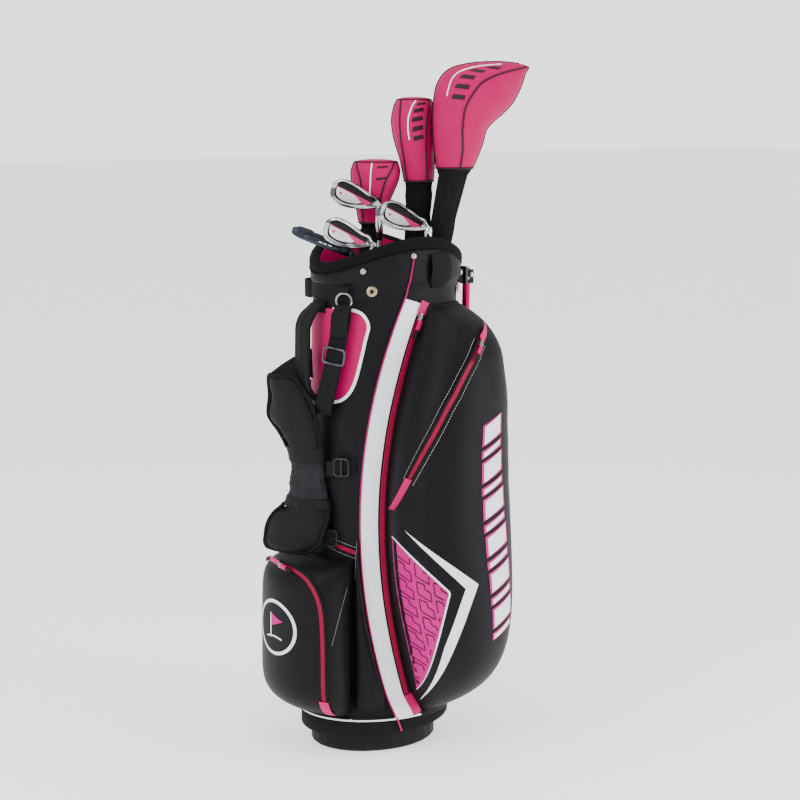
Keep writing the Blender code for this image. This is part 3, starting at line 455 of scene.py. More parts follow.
def lofted(name, rings, finish, body="bag", caps=True, closed=False):
    """Joins rings of points, one after another. closed joins the last ring to the first."""
    n = len(rings[0])
    verts = [p for ring in rings for p in ring]
    faces = []
    pairs = list(zip(range(len(rings) - 1), range(1, len(rings))))
    if closed:
        pairs.append((len(rings) - 1, 0))
    for a, b in pairs:
        for i in range(n):
            j = (i + 1) % n
            faces.append((a * n + i, a * n + j, b * n + j, b * n + i))
    if caps and not closed:
        faces.append(tuple(range(n)))
        faces.append(tuple(range((len(rings) - 1) * n, len(rings) * n)))
    return piece(name, verts, faces, finish, body)


def grid_slab(name, outer, inner, finish, body="bag"):
    """A closed slab between two grids of points of the same shape."""
    rows, cols = len(outer), len(outer[0])
    verts = [p for row in outer for p in row] + [p for row in inner for p in row]
    count = rows * cols
    faces = []
    for r in range(rows - 1):
        for c in range(cols - 1):
            a = r * cols + c
            faces.append((a, a + 1, a + cols + 1, a + cols))
            faces.append((count + a, count + a + cols, count + a + cols + 1, count + a + 1))
    rim = [(0, c) for c in range(cols)] + [(r, cols - 1) for r in range(1, rows)]
    rim += [(rows - 1, c) for c in range(cols - 2, -1, -1)] + [(r, 0) for r in range(rows - 2, 0, -1)]
    for (r0, c0), (r1, c1) in zip(rim, rim[1:] + rim[:1]):
        a, b = r0 * cols + c0, r1 * cols + c1
        faces.append((a, b, count + b, count + a))
    return piece(name, verts, faces, finish, body)


def curve_through(points, per=8):
    """A smooth run through points of any dimension."""
    points = [Vector(p) for p in points]
    padded = [points[0] * 2 - points[1]] + points + [points[-1] * 2 - points[-2]]
    run = []
    for i in range(1, len(padded) - 2):
        a, b, c, d = padded[i - 1:i + 3]
        for k in range(per):
            t = k / per
            run.append(0.5 * (2 * b + (c - a) * t + (2 * a - 5 * b + 4 * c - d) * t * t
                              + (3 * b - a - 3 * c + d) * t ** 3))
    run.append(points[-1])
    return run


def even(points, step):
    """The same run with its points evenly spaced."""
    lengths = [0.0]
    for a, b in zip(points, points[1:]):
        lengths.append(lengths[-1] + (b - a).length)
    count = max(2, round(lengths[-1] / step) + 1)
    run, k = [], 0
    for i in range(count):
        want = lengths[-1] * i / (count - 1)
        while k < len(lengths) - 2 and lengths[k + 1] < want:
            k += 1
        span = lengths[k + 1] - lengths[k] or 1.0
        run.append(points[k].lerp(points[k + 1], (want - lengths[k]) / span))
    return run


def tangents(points, closed=False):
    n = len(points)
    found = []
    for i in range(n):
        a = points[i - 1] if closed or i else points[i]
        b = points[(i + 1) % n] if closed or i < n - 1 else points[i]
        found.append((b - a).normalized())
    return found


def cord(name, points, radius, finish, body="bag", sides=8, closed=False):
    """A round cord along points."""
    ways = tangents(points, closed)
    side = ways[0].orthogonal().normalized()
    rings = []
    for p, way in zip(points, ways):
        side = (side - way * side.dot(way)).normalized()
        other = way.cross(side)
        rings.append([p + radius * (side * math.cos(a) + other * math.sin(a)) for a in circle(sides)])
    return lofted(name, rings, finish, body, caps=not closed, closed=closed)


def laid(surface, path, lift, step=0.005):
    """A run of (point, outward normal) along a path drawn in a surface's own two shares."""
    run = even([surface(u, v, lift) for u, v in path], step)
    outer = even([surface(u, v, lift + 0.004) for u, v in path], step)
    return [(p, (q - p).normalized()) for p, q in zip(run, outer)]


def beside(surface, path, shift):
    """A path drawn on a surface, moved sideways along that surface."""
    moved = []
    for i, (u, v) in enumerate(path):
        way = surface(*path[min(len(path) - 1, i + 1)]) - surface(*path[max(0, i - 1)])
        along_u = (surface(u + 0.004, v) - surface(u - 0.004, v)) / 0.008
        along_v = (surface(u, v + 0.002) - surface(u, v - 0.002)) / 0.004
        side = way.cross(along_u.cross(along_v)).normalized() * shift
        uu, uv, vv = along_u.dot(along_u), along_u.dot(along_v), along_v.dot(along_v)
        su, sv = side.dot(along_u), side.dot(along_v)
        whole = uu * vv - uv * uv
        moved.append((u + (su * vv - sv * uv) / whole, v + (sv * uu - su * uv) / whole))
    return moved


def strip(name, run, half, thickness, finish, body="bag", columns=1, crown=0.0, shift=0.0):
    """A flat strip along a run of (point, normal), its edges half to each side. crown lifts its middle."""
    points = [p for p, _ in run]
    ways = tangents(points)
    outer, inner = [], []
    for (p, normal), way in zip(run, ways):
        side = way.cross(normal).normalized()
        row_out, row_in = [], []
        for c in range(-columns, columns + 1):
            share = c / columns
            base = p + side * (half * share + shift)
            row_out.append(base + normal * (thickness + crown * (1 - share * share)))
            row_in.append(base)
        outer.append(row_out)
        inner.append(row_in)
    return grid_slab(name, outer, inner, finish, body)


def stitches(name, run, length=0.0026, gap=0.0016, radius=0.00035, shift=0.0):
    """A row of stitches along a run of (point, normal)."""
    points = [p for p, _ in run]
    ways = tangents(points)
    offset = [p + way.cross(normal).normalized() * shift for (p, normal), way in zip(run, ways)]
    normals = [normal for _, normal in run]
    total = [0.0]
    for a, b in zip(offset, offset[1:]):
        total.append(total[-1] + (b - a).length)
    verts, faces = [], []
    start, k = gap, 0
    while start + length < total[-1]:
        while k < len(total) - 2 and total[k + 1] < start:
            k += 1
        way = (offset[k + 1] - offset[k]).normalized()
        base = offset[k] + way * (start - total[k])
        side = way.cross(normals[k]).normalized() * radius
        up = normals[k] * radius
        first = len(verts)
        for along, size in ((0.0, 0.4), (0.25, 1.0), (0.75, 1.0), (1.0, 0.4)):
            middle = base + way * length * along
            verts += [middle - side * size, middle + up * size * 1.3, middle + side * size, middle - up * size]
        for ring in range(3):
            for i in range(4):
                j = (i + 1) % 4
                a, b = first + ring * 4, first + ring * 4 + 4
                faces.append((a + i, a + j, b + j, b + i))
        faces.append((first, first + 1, first + 2, first + 3))
        faces.append((first + 12, first + 13, first + 14, first + 15))
        start += length + gap
    return piece(name, verts, faces, "thread")


ZIP_PITCH, TAPE_LIFT = 0.0022, 0.0008
BOLD = {"length": 0.0034, "radius": 0.0005}      # the heavier stitches beside a zip
# Across a zip's coil: (share of its half-width, share of its height).
COIL = ((-1, 0.3), (-0.8, 0.9), (-0.18, 1.0), (0, 0.55), (0.18, 1.0), (0.8, 0.9), (1, 0.3))


def zipper(name, run, tape_half, coil_half, thread=False):
    """A closed coil zip: two woven tapes, with the coil's close ribs down the middle."""
    strip(name + "_tape", run, tape_half, 0.0009, "zip_tape", columns=2)
    points = [p + n * TAPE_LIFT for p, n in run]
    normals = [n for _, n in run]
    fine = even(points, ZIP_PITCH / 2)
    rows_out, rows_in = [], []
    for i, (p, way) in enumerate(zip(fine, tangents(fine))):
        normal = normals[min(len(normals) - 1, round(i * (len(normals) - 1) / (len(fine) - 1)))]
        side = way.cross(normal).normalized()
        height = 0.0013 if i % 2 else 0.0008
        rows_out.append([p + side * coil_half * s + normal * height * h for s, h in COIL])
        rows_in.append([p + side * coil_half * s for s, _ in COIL])
    grid_slab(name + "_coil", rows_out, rows_in, "zip_coil")
    for side, letter in ((-1, "a"), (1, "b")):
        strip(name + "_edge_" + letter, run, 0.0012, 0.0014, "binding", columns=2, crown=0.0005,
              shift=side * tape_half)
        if thread:
            stitches(name + "_stitch_" + letter, list(zip(points, normals)), shift=side * (tape_half + 0.0030),
                     gap=0.0012, **BOLD)


def pink_tab(name, run, half, thickness=0.0012):
    """The cloth tab sewn over a zip's end."""
    strip(name, run, half, thickness, "tab", columns=2, crown=0.0006)


def straight(start, end, count):
    """Points evenly spaced from one (u, v) to another."""
    return [Vector(start).lerp(Vector(end), t) for t in spaced(0, 1, count)]


def turned(name, profile, place, finish, body="bag", steps=24):
    """A turned shape: profile is (radius, height) along the place matrix's Z."""
    rings = [[place @ Vector((r * math.cos(a), r * math.sin(a), h)) for a in circle(steps)] for r, h in profile]
    return lofted(name, rings, finish, body)


def framed(point, x, z):
    """A frame at point with its X and Z along two directions that are square to each other."""
    return Matrix.Translation(point) @ Matrix((x, z.cross(x), z)).transposed().to_4x4()


def facing(point, normal):
    """A frame at point whose Z is the outward normal."""
    z = normal.normalized()
    return framed(point, UP.cross(z).normalized(), z)


def facing_out(surface, angle, z, lift=0.0):
    """A frame on a surface of the bag, its Z pointing straight out."""
    spot = surface(angle, z, lift)
    return facing(spot, surface(angle, z, lift + 0.01) - spot)


def flat_shape(name, surface, outline, lift, thickness, finish, body="bag", rows=14):
    """A flat shape with a polygon outline drawn in a surface's two shares, laid on that surface."""
    bm = bmesh.new()
    bm.faces.new([bm.verts.new((u, v, 0.0)) for u, v in outline])
    us, vs = zip(*outline)
    for i in range(1, rows):
        for axis, spots in ((Vector((0, 1, 0)), vs), (Vector((1, 0, 0)), us)):
            place = min(spots) + (max(spots) - min(spots)) * i / rows
            bmesh.ops.bisect_plane(bm, geom=bm.verts[:] + bm.edges[:] + bm.faces[:], plane_co=axis * place,
                                   plane_no=axis)
    bmesh.ops.triangulate(bm, faces=bm.faces)
    edge = bmesh.ops.extrude_face_region(bm, geom=bm.faces[:])
    raised = {v for v in edge["geom"] if isinstance(v, bmesh.types.BMVert)}
    for v in bm.verts:
        v.co = surface(v.co.x, v.co.y, lift + (thickness if v in raised else 0.0))
    return shaded(name, bm, bpy.data.meshes.new(name), finish, body)


# ---- The bag's body ------------------------------------------------------------------------------
SKIN_LOW_Z, SKIN_HIGH_Z = 0.0625, 0.802


def bag_skin():
    """The fabric tube, flaring over the base collar, with a thin inner face."""
    angles = degrees(120)
    heights = [SKIN_LOW_Z, 0.0640, 0.0665] + spaced(0.070, 0.104, 9) + spaced(0.115, SKIN_HIGH_Z, 76)
    outer = [[on_skin(a, z) for a in angles] for z in heights]
    inner = [[on_tube(a, z, flare(z) + 0.0001) for a in angles] for z in reversed(heights)]
    skin = lofted("bag_skin", outer + inner, "bag_fabric", closed=True)
    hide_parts("body_shell")


def pocket_slab(name, surface, edges, heights, columns=60, rows=70):
    """A pocket's fabric: its outer face, closed behind by a face that lies close to the tube."""
    low, high = heights
    zs = [low + share * (high - low) for share in eased(rows)]
    shares = eased(columns)
    outer = [[surface(s, z) for s in shares] for z in zs]
    inner = []
    for z in zs:
        first, last = edges(z)
        inner.append([on_tube(first + s * (last - first), z, pocket_base(z)) for s in shares])
    return grid_slab(name, outer, inner, "bag_fabric")


def pockets():
    for side, hand in SIDES:
        def edges(z, side=side):
            return side * (band_end(z) + ZIP_ANGLE), side * side_back(z)

        fabric = pocket_slab("side_pocket_fabric_" + hand, side_face(side, 0.0), edges, SIDE_Z, 72, 90)
        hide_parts("side_pocket_" + hand)
    fabric = pocket_slab("ball_pocket_fabric", ball_pocket, lambda z: BALL_ANGLES, BALL_Z)
    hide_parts("ball_pocket")
    fabric = pocket_slab("small_pocket_fabric", small_pocket, small_edges, VALUABLES_Z, 24, 50)
    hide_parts("valuables_pocket")


# ---- The white band, its piping and the long zips ------------------------------------------------
BAND_LOW_Z, BAND_HIGH_Z = 0.0640, 0.778
BAND_TOP_SLANT, BAND_SLANT_Z = 0.011, 0.70
PIPING_LOW_Z, PIPING_BEND_Z, PIPING_TOP_ANGLE, PIPING_TOP_RISE = 0.0610, 0.785, 81.0, 0.058
LONG_ZIP_LOW_Z, LONG_ZIP_HIGH_Z = 0.092, 0.750


def bands():
    """On each side the white band, piping up its front edge and over the cuff, and the long zip behind it."""
    heights = spaced(BAND_LOW_Z, BAND_HIGH_Z, 90)
    for side, hand in SIDES:
        outer, inner = [], []
        for z in heights:
            first, last = band_end(z) - BAND_ANGLE, band_end(z) + 0.3
            spots = [side * (first + s * (last - first)) for s in spaced(0.0, 1.0, 9)]
            slant = BAND_TOP_SLANT * smooth((z - BAND_SLANT_Z) / (BAND_HIGH_Z - BAND_SLANT_Z))
            outer.append([on_skin(a, z - slant * i / 8, 0.0013) for i, a in enumerate(spots)])
            inner.append([on_skin(a, z - slant * i / 8, 0.0002) for i, a in enumerate(spots)])
        grid_slab("white_band_" + hand, outer, inner, "white_panel")

        edge = [(side * (band_end(z) - BAND_ANGLE), z) for z in spaced(PIPING_LOW_Z, PIPING_BEND_Z, 60)]
        top = band_end(PIPING_BEND_Z) - BAND_ANGLE
        edge += [(side * (top + (PIPING_TOP_ANGLE - top) * t), PIPING_BEND_Z + PIPING_TOP_RISE * t)
                 for t in spaced(0.15, 1.0, 8)]
        run = [on_skin(a, z, 0.0022) if z < 0.79 else on_cuff(a, z, 0.0014) for a, z in edge]
        cord("band_piping_" + hand, even(run, 0.004), 0.0015, "magenta_cord")
        end = band_end(0.06) - BAND_ANGLE
        tail = [on_skin(side * (end + t * 4), 0.0640 - 0.024 * t, 0.0030) for t in spaced(0, 1, 8)]
        cord("cord_end_" + hand, tail, 0.0015, "tab")

        middle = ZIP_ANGLE * 0.5
        path = [(side * (band_end(z) + middle), z) for z in spaced(LONG_ZIP_LOW_Z, LONG_ZIP_HIGH_Z, 120)]
        zipper("long_zip_" + hand, laid(on_skin, path, 0.0008), tape_half=0.0062, coil_half=0.0044)
        for end, low, high in (("low", 0.0660, 0.098), ("high", 0.746, 0.771)):
            path = [(side * (band_end(z) + middle), z) for z in spaced(low, high, 8)]
            pink_tab("long_zip_tab_%s_%s" % (end, hand), laid(on_skin, path, 0.0030), 0.0080)


# ---- Zips and prints on the side pockets ---------------------------------------------------------
DIAGONAL = [(0.400, 0.7080), (0.335, 0.694), (0.260, 0.664), (0.200, 0.622), (0.160, 0.584), (0.120, 0.546),
            (0.086, 0.512), (0.055, 0.480)]
PRINT_START = 0.001      # the prints and the zip keep this share clear of the pocket's front edge
CHEVRON = [(0.050, 0.402), (0.370, 0.312), (0.020, 0.092), (0.300, 0.307)]
PANEL = [(0.008, 0.385), (0.220, 0.302), (0.010, 0.112)]
BARS_ACROSS = (0.505, 0.550)     # where the row of slanted bars stands, at its top and its bottom
BARS_TOP_Z, BARS_HEIGHT, BAR_LEAN, BAR_RIM = 0.5625, 0.3080, 0.0085, 0.0026


def side_prints():
    """The diagonal zip, the chevron, the pink panel and the slanted bars on each side pocket."""
    for side, hand in SIDES:
        face = side_face(side, PRINT_START)
        path = curve_through(DIAGONAL, 10)
        zipper("diagonal_zip_" + hand, laid(face, path, 0.0006, 0.004), tape_half=0.0078, coil_half=0.0043)
        for row, shift in (("a", -0.0112), ("b", 0.0112)):
            run = laid(face, beside(face, path, shift), 0.0010)
            stitches("diagonal_stitch_%s_%s" % (row, hand), run, gap=0.0014, **BOLD)
        for end, stops in (("high", [(0.600, 0.7290), (0.405, 0.7090)]), ("low", [(0.062, 0.487), (0.010, 0.430)])):
            pink_tab("diagonal_tab_%s_%s" % (end, hand), laid(face, straight(*stops, 8), 0.0026), 0.0092)

        # The thick white chevron: two tapering arms that meet at the tip.
        top, tip, low, inside = CHEVRON
        flat_shape("chevron_" + hand, face, [top, tip, low, (0.150, 0.205), inside], 0.0004, 0.0007, "white_print")
        top, tip, low = PANEL
        flat_shape("print_panel_" + hand, face, [top, tip, low], 0.0004, 0.0006, "pink_print")
        edge = straight(top, tip, 24) + [Vector(tip).lerp(Vector(low), t) for t in spaced(0.04, 1.0, 32)]
        strip("print_edge_" + hand, laid(face, edge, 0.0006), 0.0015, 0.0008, "white_print", columns=1)
        print_lines(face, hand)
        slanted_bars(face, hand)


def inside_panel(u, v):
    """True where a point lies well inside the pink panel."""
    top, tip, low = PANEL
    if not low[1] + 0.012 < v < top[1] - 0.010:
        return False
    if v > tip[1]:
        reach = top[0] + (tip[0] - top[0]) * (top[1] - v) / (top[1] - tip[1])
    else:
        reach = low[0] + (tip[0] - low[0]) * (v - low[1]) / (tip[1] - low[1])
    return 0.006 < u < reach - 0.012


# A slanted box with one corner stepped in.
STEPPED_BOX = ((0.0, 0.0), (0.052, -0.012), (0.052, 0.004), (0.030, 0.009), (0.030, 0.017), (0.0, 0.021),
               (0.0, 0.0))
OUTSIDE = (9.0, 9.0)      # a spot off the panel, which ends the last line


def print_lines(face, hand):
    """A plain pattern of stepped outlines across the pink panel, in rows and columns, cut off at its edges."""
    made = 0
    for row in range(9):
        base = 0.118 + row * 0.030
        for column in range(3):
            start = 0.012 + column * 0.070
            figure = [(start + across, base + up) for across, up in STEPPED_BOX]
            spots = [spot for a, b in zip(figure, figure[1:]) for spot in straight(a, b, 7)]
            run = []
            for spot in spots + [OUTSIDE]:
                if inside_panel(*spot):
                    run.append(spot)
                    continue
                if len(run) > 4:
                    strip("print_line_%s_%d" % (hand, made), laid(face, run, 0.0009, 0.003), 0.00120, 0.0004,
                          "dark_line")
                    made += 1
                run = []


def slanted_bars(face, hand):
    """A column of slanted bars, thick and thin by turns, each white with a pink edge."""
    for i, share in enumerate(spaced(0.0, 1.0, 6)):
        middle_u = BARS_ACROSS[0] + (BARS_ACROSS[1] - BARS_ACROSS[0]) * share
        for size, drop, tall in (("thick", 0.0, 0.0175), ("thin", -0.0315, 0.0065)):
            middle_z = BARS_TOP_Z - BARS_HEIGHT * share + drop
            for part, lift, finish in (("edge", 0.0004, "pink_print"), ("face", 0.0009, "white_print")):
                rim = BAR_RIM if part == "face" else 0.0
                half, high = 0.082 + 0.016 * share - rim * 6.0, tall - rim
                outline = [(middle_u + across * half, middle_z + up * high + across * BAR_LEAN)
                           for across, up in ((-1, -1), (1, -1), (1, 1), (-1, 1))]
                flat_shape("bar_%s_%s_%s_%d" % (size, part, hand, i), face, outline, lift, 0.0005, finish, rows=7)


# ---- The ball pocket's zip and badge -------------------------------------------------------------
BALL_ARCH = [(0.46, 0.3255), (0.56, 0.3255), (0.67, 0.3225), (0.755, 0.3150), (0.815, 0.2980), (0.850, 0.2700),
             (0.862, 0.2350), (0.868, 0.1960), (0.871, 0.1500), (0.872, 0.1060)]
BADGE = (0.540, 0.224)
BADGE_ACROSS, BADGE_UP = 0.76 / 0.158, 1.30      # shares across and metres up the pocket for a metre of radius


def ball_trim():
    """The ball pocket's arched zip, and its round badge."""
    arch = laid(ball_pocket, curve_through(BALL_ARCH, 10), 0.0006, 0.004)
    zipper("ball_zip", arch, tape_half=0.0072, coil_half=0.0036)
    tab = [(0.872, z) for z in spaced(0.108, 0.076, 8)]
    pink_tab("ball_zip_tab", laid(ball_pocket, tab, 0.0026), 0.0086, 0.0013)

    def on_badge(across, up):
        return BADGE[0] + across, BADGE[1] + up

    for name, radius, lift, thickness, finish in (("badge_ring", 0.0365, 0.0006, 0.0010, "white_print"),
                                                  ("badge_field", 0.0322, 0.0010, 0.0012, "pad_fabric")):
        wide, tall = radius * BADGE_ACROSS, radius * BADGE_UP
        outline = [on_badge(wide * math.cos(a), tall * math.sin(a)) for a in circle(40)]
        flat_shape(name, ball_pocket, outline, lift, thickness, finish)
    # A flag on its stick, above a short arched line for the ground.
    pole = straight(on_badge(-0.030, -0.018), on_badge(-0.030, 0.024), 9)
    strip("badge_pole", laid(ball_pocket, pole, 0.0020), 0.0013, 0.0008, "white_print")
    flag = [on_badge(-0.025, 0.024), on_badge(0.078, 0.013), on_badge(-0.025, 0.002)]
    flat_shape("badge_flag", ball_pocket, flag, 0.0020, 0.0009, "pink_print", rows=4)
    ground = [on_badge(-0.070 + 0.140 * t, -0.018 + 0.003 * math.sin(math.pi * t)) for t in spaced(0, 1, 10)]
    strip("badge_ground", laid(ball_pocket, ground, 0.0020), 0.0012, 0.0008, "white_print")


def small_pocket_trim():
    """A short zip above the small pocket, between two lines of stitches, and a long line of stitches below."""
    ends = (10.0, 0.368), (43.5, 0.348)
    run = laid(on_skin, straight(*ends, 20), 0.0010, 0.004)
    zipper("small_zip", run, tape_half=0.0060, coil_half=0.0036, thread=True)
    run = laid(ball_pocket, straight((0.985, 0.300), (0.915, 0.205), 16), 0.0010)
    stitches("ball_pocket_stitch", run)
    first, width = BALL_ANGLES[1] + POCKETS_APART, 12.0
    fold = [((a - first) / width, z) for a, z in straight((46.0, 0.372), (43.0, 0.305), 12)]
    stitches("small_pocket_stitch", laid(small_pocket, [(max(0.05, min(0.95, u)), v) for u, v in fold], 0.0008))


# ---- The base ------------------------------------------------------------------------------------
def base():
    """The piping round the foot of the fabric, and the elastic band under it."""
    run = [on_tube(a, SKIN_LOW_Z, FLARE + 0.0022) for a in degrees(160)]
    cord("bottom_piping", run, 0.0023, "white_cord", closed=True)
    # The elastic band between the fabric and the foot, in close upright ribs.
    rib, outer_face, dip = 0.0004, 0.0141, 0.006
    rings = []
    for z, out in ((0.0612, 0.0142), (0.0600, 0.0150), (0.0320, 0.0148), (0.0305, 0.0140), (0.0305, 0.0134),
                   (0.0612, 0.0134)):
        ring = []
        for i, a in enumerate(degrees(300)):
            spot = on_tube(a, 0.0645, out + (rib if i % 2 and out > outer_face else 0.0))
            # Its lower edge rises towards the back.
            spot.z = z + (dip - dip * math.cos(math.radians(a)) if z < 0.04 else 0.0)
            ring.append(spot)
        rings.append(ring)
    lofted("elastic_band", rings, "binding", closed=True)


# ---- The cuff ------------------------------------------------------------------------------------
def on_cuff(angle, z, lift=0.0):
    """The cuff's fabric band, between the bag's body and the padded rim."""
    puff = creases(on_tube(angle, z), 0.07, 0.0008, (1.0, 1.0, 1.4), 9.0)
    share = smooth((z - 0.792) / 0.016)
    return on_tube(angle, z, 0.0012 + 0.0045 * share + puff + lift)


CUFF_LOW_Z, LINING_LOW_Z = 0.790, 0.816
SNAP = [(0.0, 0.0002), (0.0052, 0.0002), (0.0054, 0.0010), (0.0050, 0.0021), (0.0036, 0.0033), (0.0018, 0.0038),
        (0.0, 0.0039)]
GROMMET = [(0.0026, 0.0002), (0.0085, 0.0002), (0.0088, 0.0010), (0.0074, 0.0021), (0.0048, 0.0023),
           (0.0034, 0.0013), (0.0026, -0.0006)]
# A black disc that fills a grommet's eye: painted shade for the dark hole.
GROMMET_HOLE_SHADE = [(0.0, 0.0001), (0.0030, 0.0001), (0.0029, 0.0006), (0.0, 0.0006)]


def cuff():
    """The fabric band and its padded rim, the mouth's lining, snaps, grommets and the towel tab."""
    angles = degrees(144)

    def up_to_rim(angle, t, low, below):
        return low + t * (rim_z(angle) - below - low)

    rows = [[on_cuff(a, up_to_rim(a, t, CUFF_LOW_Z, 0.020)) for a in angles] for t in spaced(0.0, 1.0, 12)]
    back = [[on_tube(a, up_to_rim(a, t, CUFF_LOW_Z, 0.020), 0.0004) for a in angles] for t in spaced(1.0, 0.0, 12)]
    band = lofted("cuff_band", rows + back, "bag_fabric", closed=True)
    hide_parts("cuff_pad")
    # The padded rim: an oval roll, pinched where it is sewn to the band.
    rings = []
    for a in angles:
        centre = on_tube(a, rim_z(a) - 0.0115, -0.0015)
        out = (on_tube(a, 0.85, 0.01) - on_tube(a, 0.85)).normalized()
        puff = creases(centre, 0.05, 0.0007, seed=2.0)
        wide, tall = 0.0095 + puff, 0.0118 + puff
        ring = [(wide * math.cos(b), tall * math.sin(b)) for b in circle(20)]
        rings.append([centre + out * x + UP * y * (0.95 if y < 0 else 1.0) for x, y in ring])
    roll = lofted("cuff_roll", rings, "cuff_fleece", closed=True)
    seam = [on_tube(a, rim_z(a) - 0.0205, 0.0072) for a in angles]
    cord("cuff_seam", seam, 0.0011, "binding", closed=True)
    # Pink cloth lines the mouth, from the rim down to the divider.
    lining = [[on_tube(a, up_to_rim(a, t, LINING_LOW_Z, 0.0075), out) for a in angles]
              for out, ends in ((-0.0114, (0, 1)), (-0.0122, (1, 0))) for t in spaced(*ends, 5)]
    lofted("mouth_lining", lining, "pink_lining", closed=True)

    snaps = [(side * angle, z) for side, _ in SIDES for angle, z in ((43, 0.824), (81, 0.848), (147, 0.811))]
    for letter, (angle, z) in zip("abcdef", snaps):
        turned("snap_" + letter, SNAP, facing_out(on_cuff, angle, z), "nickel")
    for letter, angle, z in (("a", 50, 0.7905), ("b", 144, 0.784), ("c", -50, 0.7905)):
        place = facing_out(on_cuff, angle, z, 0.0006)
        turned("grommet_" + letter, GROMMET, place, "brass")
        # The black disc in each grommet's eye is painted shade for the hole.
        turned("grommet_%s_hole" % letter, GROMMET_HOLE_SHADE, place, "black_enamel")
    # A folded tab of webbing hangs from the rim, for a towel.
    rows_out, rows_in = [], []
    for t in spaced(0.0, 1.0, 14):
        z = 0.850 - 0.058 * t
        half = 8.5 + 2.0 * t - (4.5 * smooth((t - 0.75) / 0.25))
        spots = [103.5 + 1.5 * t + half * s for s in spaced(-1, 1, 7)]
        bulge = 0.0055 * math.sin(math.pi * min(1.0, t * 1.1)) + 0.0020
        rows_out.append([on_cuff(a, z, bulge + 0.0018) for a in spots])
        rows_in.append([on_cuff(a, z, bulge) for a in spots])
    grid_slab("towel_tab", rows_out, rows_in, "webbing")


# ---- The strap side: handle, pink panel, webbing -------------------------------------------------
PANEL_POINTS = [(18, 0.7600), (30, 0.7600), (39, 0.7575), (45, 0.7480), (48, 0.7320), (46, 0.7120), (42, 0.6720),
                (38, 0.6400), (33, 0.6200), (26, 0.6080), (18, 0.6040)]


def handle_panel():
    """The pink panel behind the handle, with bound edges."""
    half = [(p.x, p.y) for p in curve_through(PANEL_POINTS, 5)]
    outline = half + [(-6.0 - a, z) for a, z in reversed(half)]
    flat_shape("handle_panel", on_skin, outline, 0.0004, 0.0012, "pink_panel", rows=26)
    loop = outline + outline[:3]
    run = laid(on_skin, loop, 0.0016, 0.004)
    strip("panel_binding", run, 0.0026, 0.0016, "white_cord", columns=2, crown=0.0006)


# ---- Cloth: how a padded piece is puffed up ------------------------------------------------------
CLOTH_FRAMES, VOXEL, PRESSURE, STIFFNESS, SHRINK = 20, 0.0045, 4.0, 18.0, 0.015


def puffed(obj, cap):
    """Fills a closed piece with air by a short cloth simulation, then smooths it once. No point moves past cap."""
    scene = bpy.context.scene
    remesh = obj.modifiers.new("remesh", "REMESH")
    remesh.mode, remesh.voxel_size, remesh.use_smooth_shade = "VOXEL", VOXEL, True
    bake(obj)
    start = [v.co.copy() for v in obj.data.vertices]
    cloth = obj.modifiers.new("cloth", "CLOTH")
    settings = cloth.settings
    settings.quality = 6
    settings.use_pressure = True
    settings.uniform_pressure_force = PRESSURE
    settings.tension_stiffness = settings.compression_stiffness = STIFFNESS
    settings.shrink_min = SHRINK
    settings.effector_weights.gravity = 0.0
    cloth.collision_settings.use_collision = False
    scene.frame_start, scene.frame_end = 1, CLOTH_FRAMES
    cloth.point_cache.frame_start, cloth.point_cache.frame_end = 1, CLOTH_FRAMES
    for number in range(1, CLOTH_FRAMES + 1):
        scene.frame_set(number)
    bake(obj)
    for vertex, was in zip(obj.data.vertices, start):
        step = vertex.co - was
        if step.length > cap:
            vertex.co = was + step * (cap / step.length)
    scene.frame_set(1)
    smoother = obj.modifiers.new("smooth", "SUBSURF")
    smoother.levels = smoother.render_levels = 1
    bake(obj)
    obj.data.shade_smooth()
    return obj


def bake(obj):
    """Makes the modified mesh the object's own."""
    graph = bpy.context.evaluated_depsgraph_get()
    graph.update()
    made = bpy.data.meshes.new_from_object(obj.evaluated_get(graph))
    made.name = obj.name
    old = obj.data
    obj.modifiers.clear()
    obj.data = made
    bpy.data.meshes.remove(old)


def nudge(obj, move):
    """Moves every point by what move(point, normal) gives."""
    obj.data.update()
    shifts = [move(v.co.copy(), v.normal.copy()) for v in obj.data.vertices]
    for vertex, shift in zip(obj.data.vertices, shifts):
        vertex.co += shift
    obj.data.update()


# ---- The shoulder strap's pads -------------------------------------------------------------------
PAD_AWAY = -0.086
PAD_SIDE = Vector((0.93, 0.37, 0.0)).normalized()
# Down the pad: (across, height, reach to the left, reach to the right).
PAD = [(-0.166, 0.649, 0.029, 0.014), (-0.165, 0.636, 0.033, 0.032), (-0.158, 0.610, 0.040, 0.045),
       (-0.151, 0.580, 0.053, 0.050), (-0.148, 0.566, 0.050, 0.050), (-0.145, 0.550, 0.038, 0.049),
       (-0.137, 0.524, 0.031, 0.044), (-0.131, 0.498, 0.032, 0.040), (-0.128, 0.462, 0.040, 0.041),
       (-0.128, 0.436, 0.043, 0.045), (-0.130, 0.420, 0.050, 0.049), (-0.137, 0.404, 0.062, 0.055),
       (-0.146, 0.385, 0.064, 0.058), (-0.151, 0.366, 0.062, 0.058), (-0.157, 0.352, 0.055, 0.046),
       (-0.158, 0.344, 0.042, 0.030)]


def pad_spot(t, s, out=0.0):
    """A point on the pad's middle sheet: t down its length, s from its left edge (-1) to its right (1)."""
    place = max(0.0, min(len(PAD_LINE) - 1.001, t * (len(PAD_LINE) - 1)))
    k = int(place)
    across, z, left, right = PAD_LINE[k].lerp(PAD_LINE[k + 1], place - k)
    bend = 0.010 * s * s      # the edges turn a little towards the bag
    normal = PAD_SIDE.cross(UP).normalized()
    return at(across, PAD_AWAY, z) + PAD_SIDE * (s * (right if s > 0 else left)) + normal * (out - bend)


PAD_LINE = curve_through(PAD, 8)


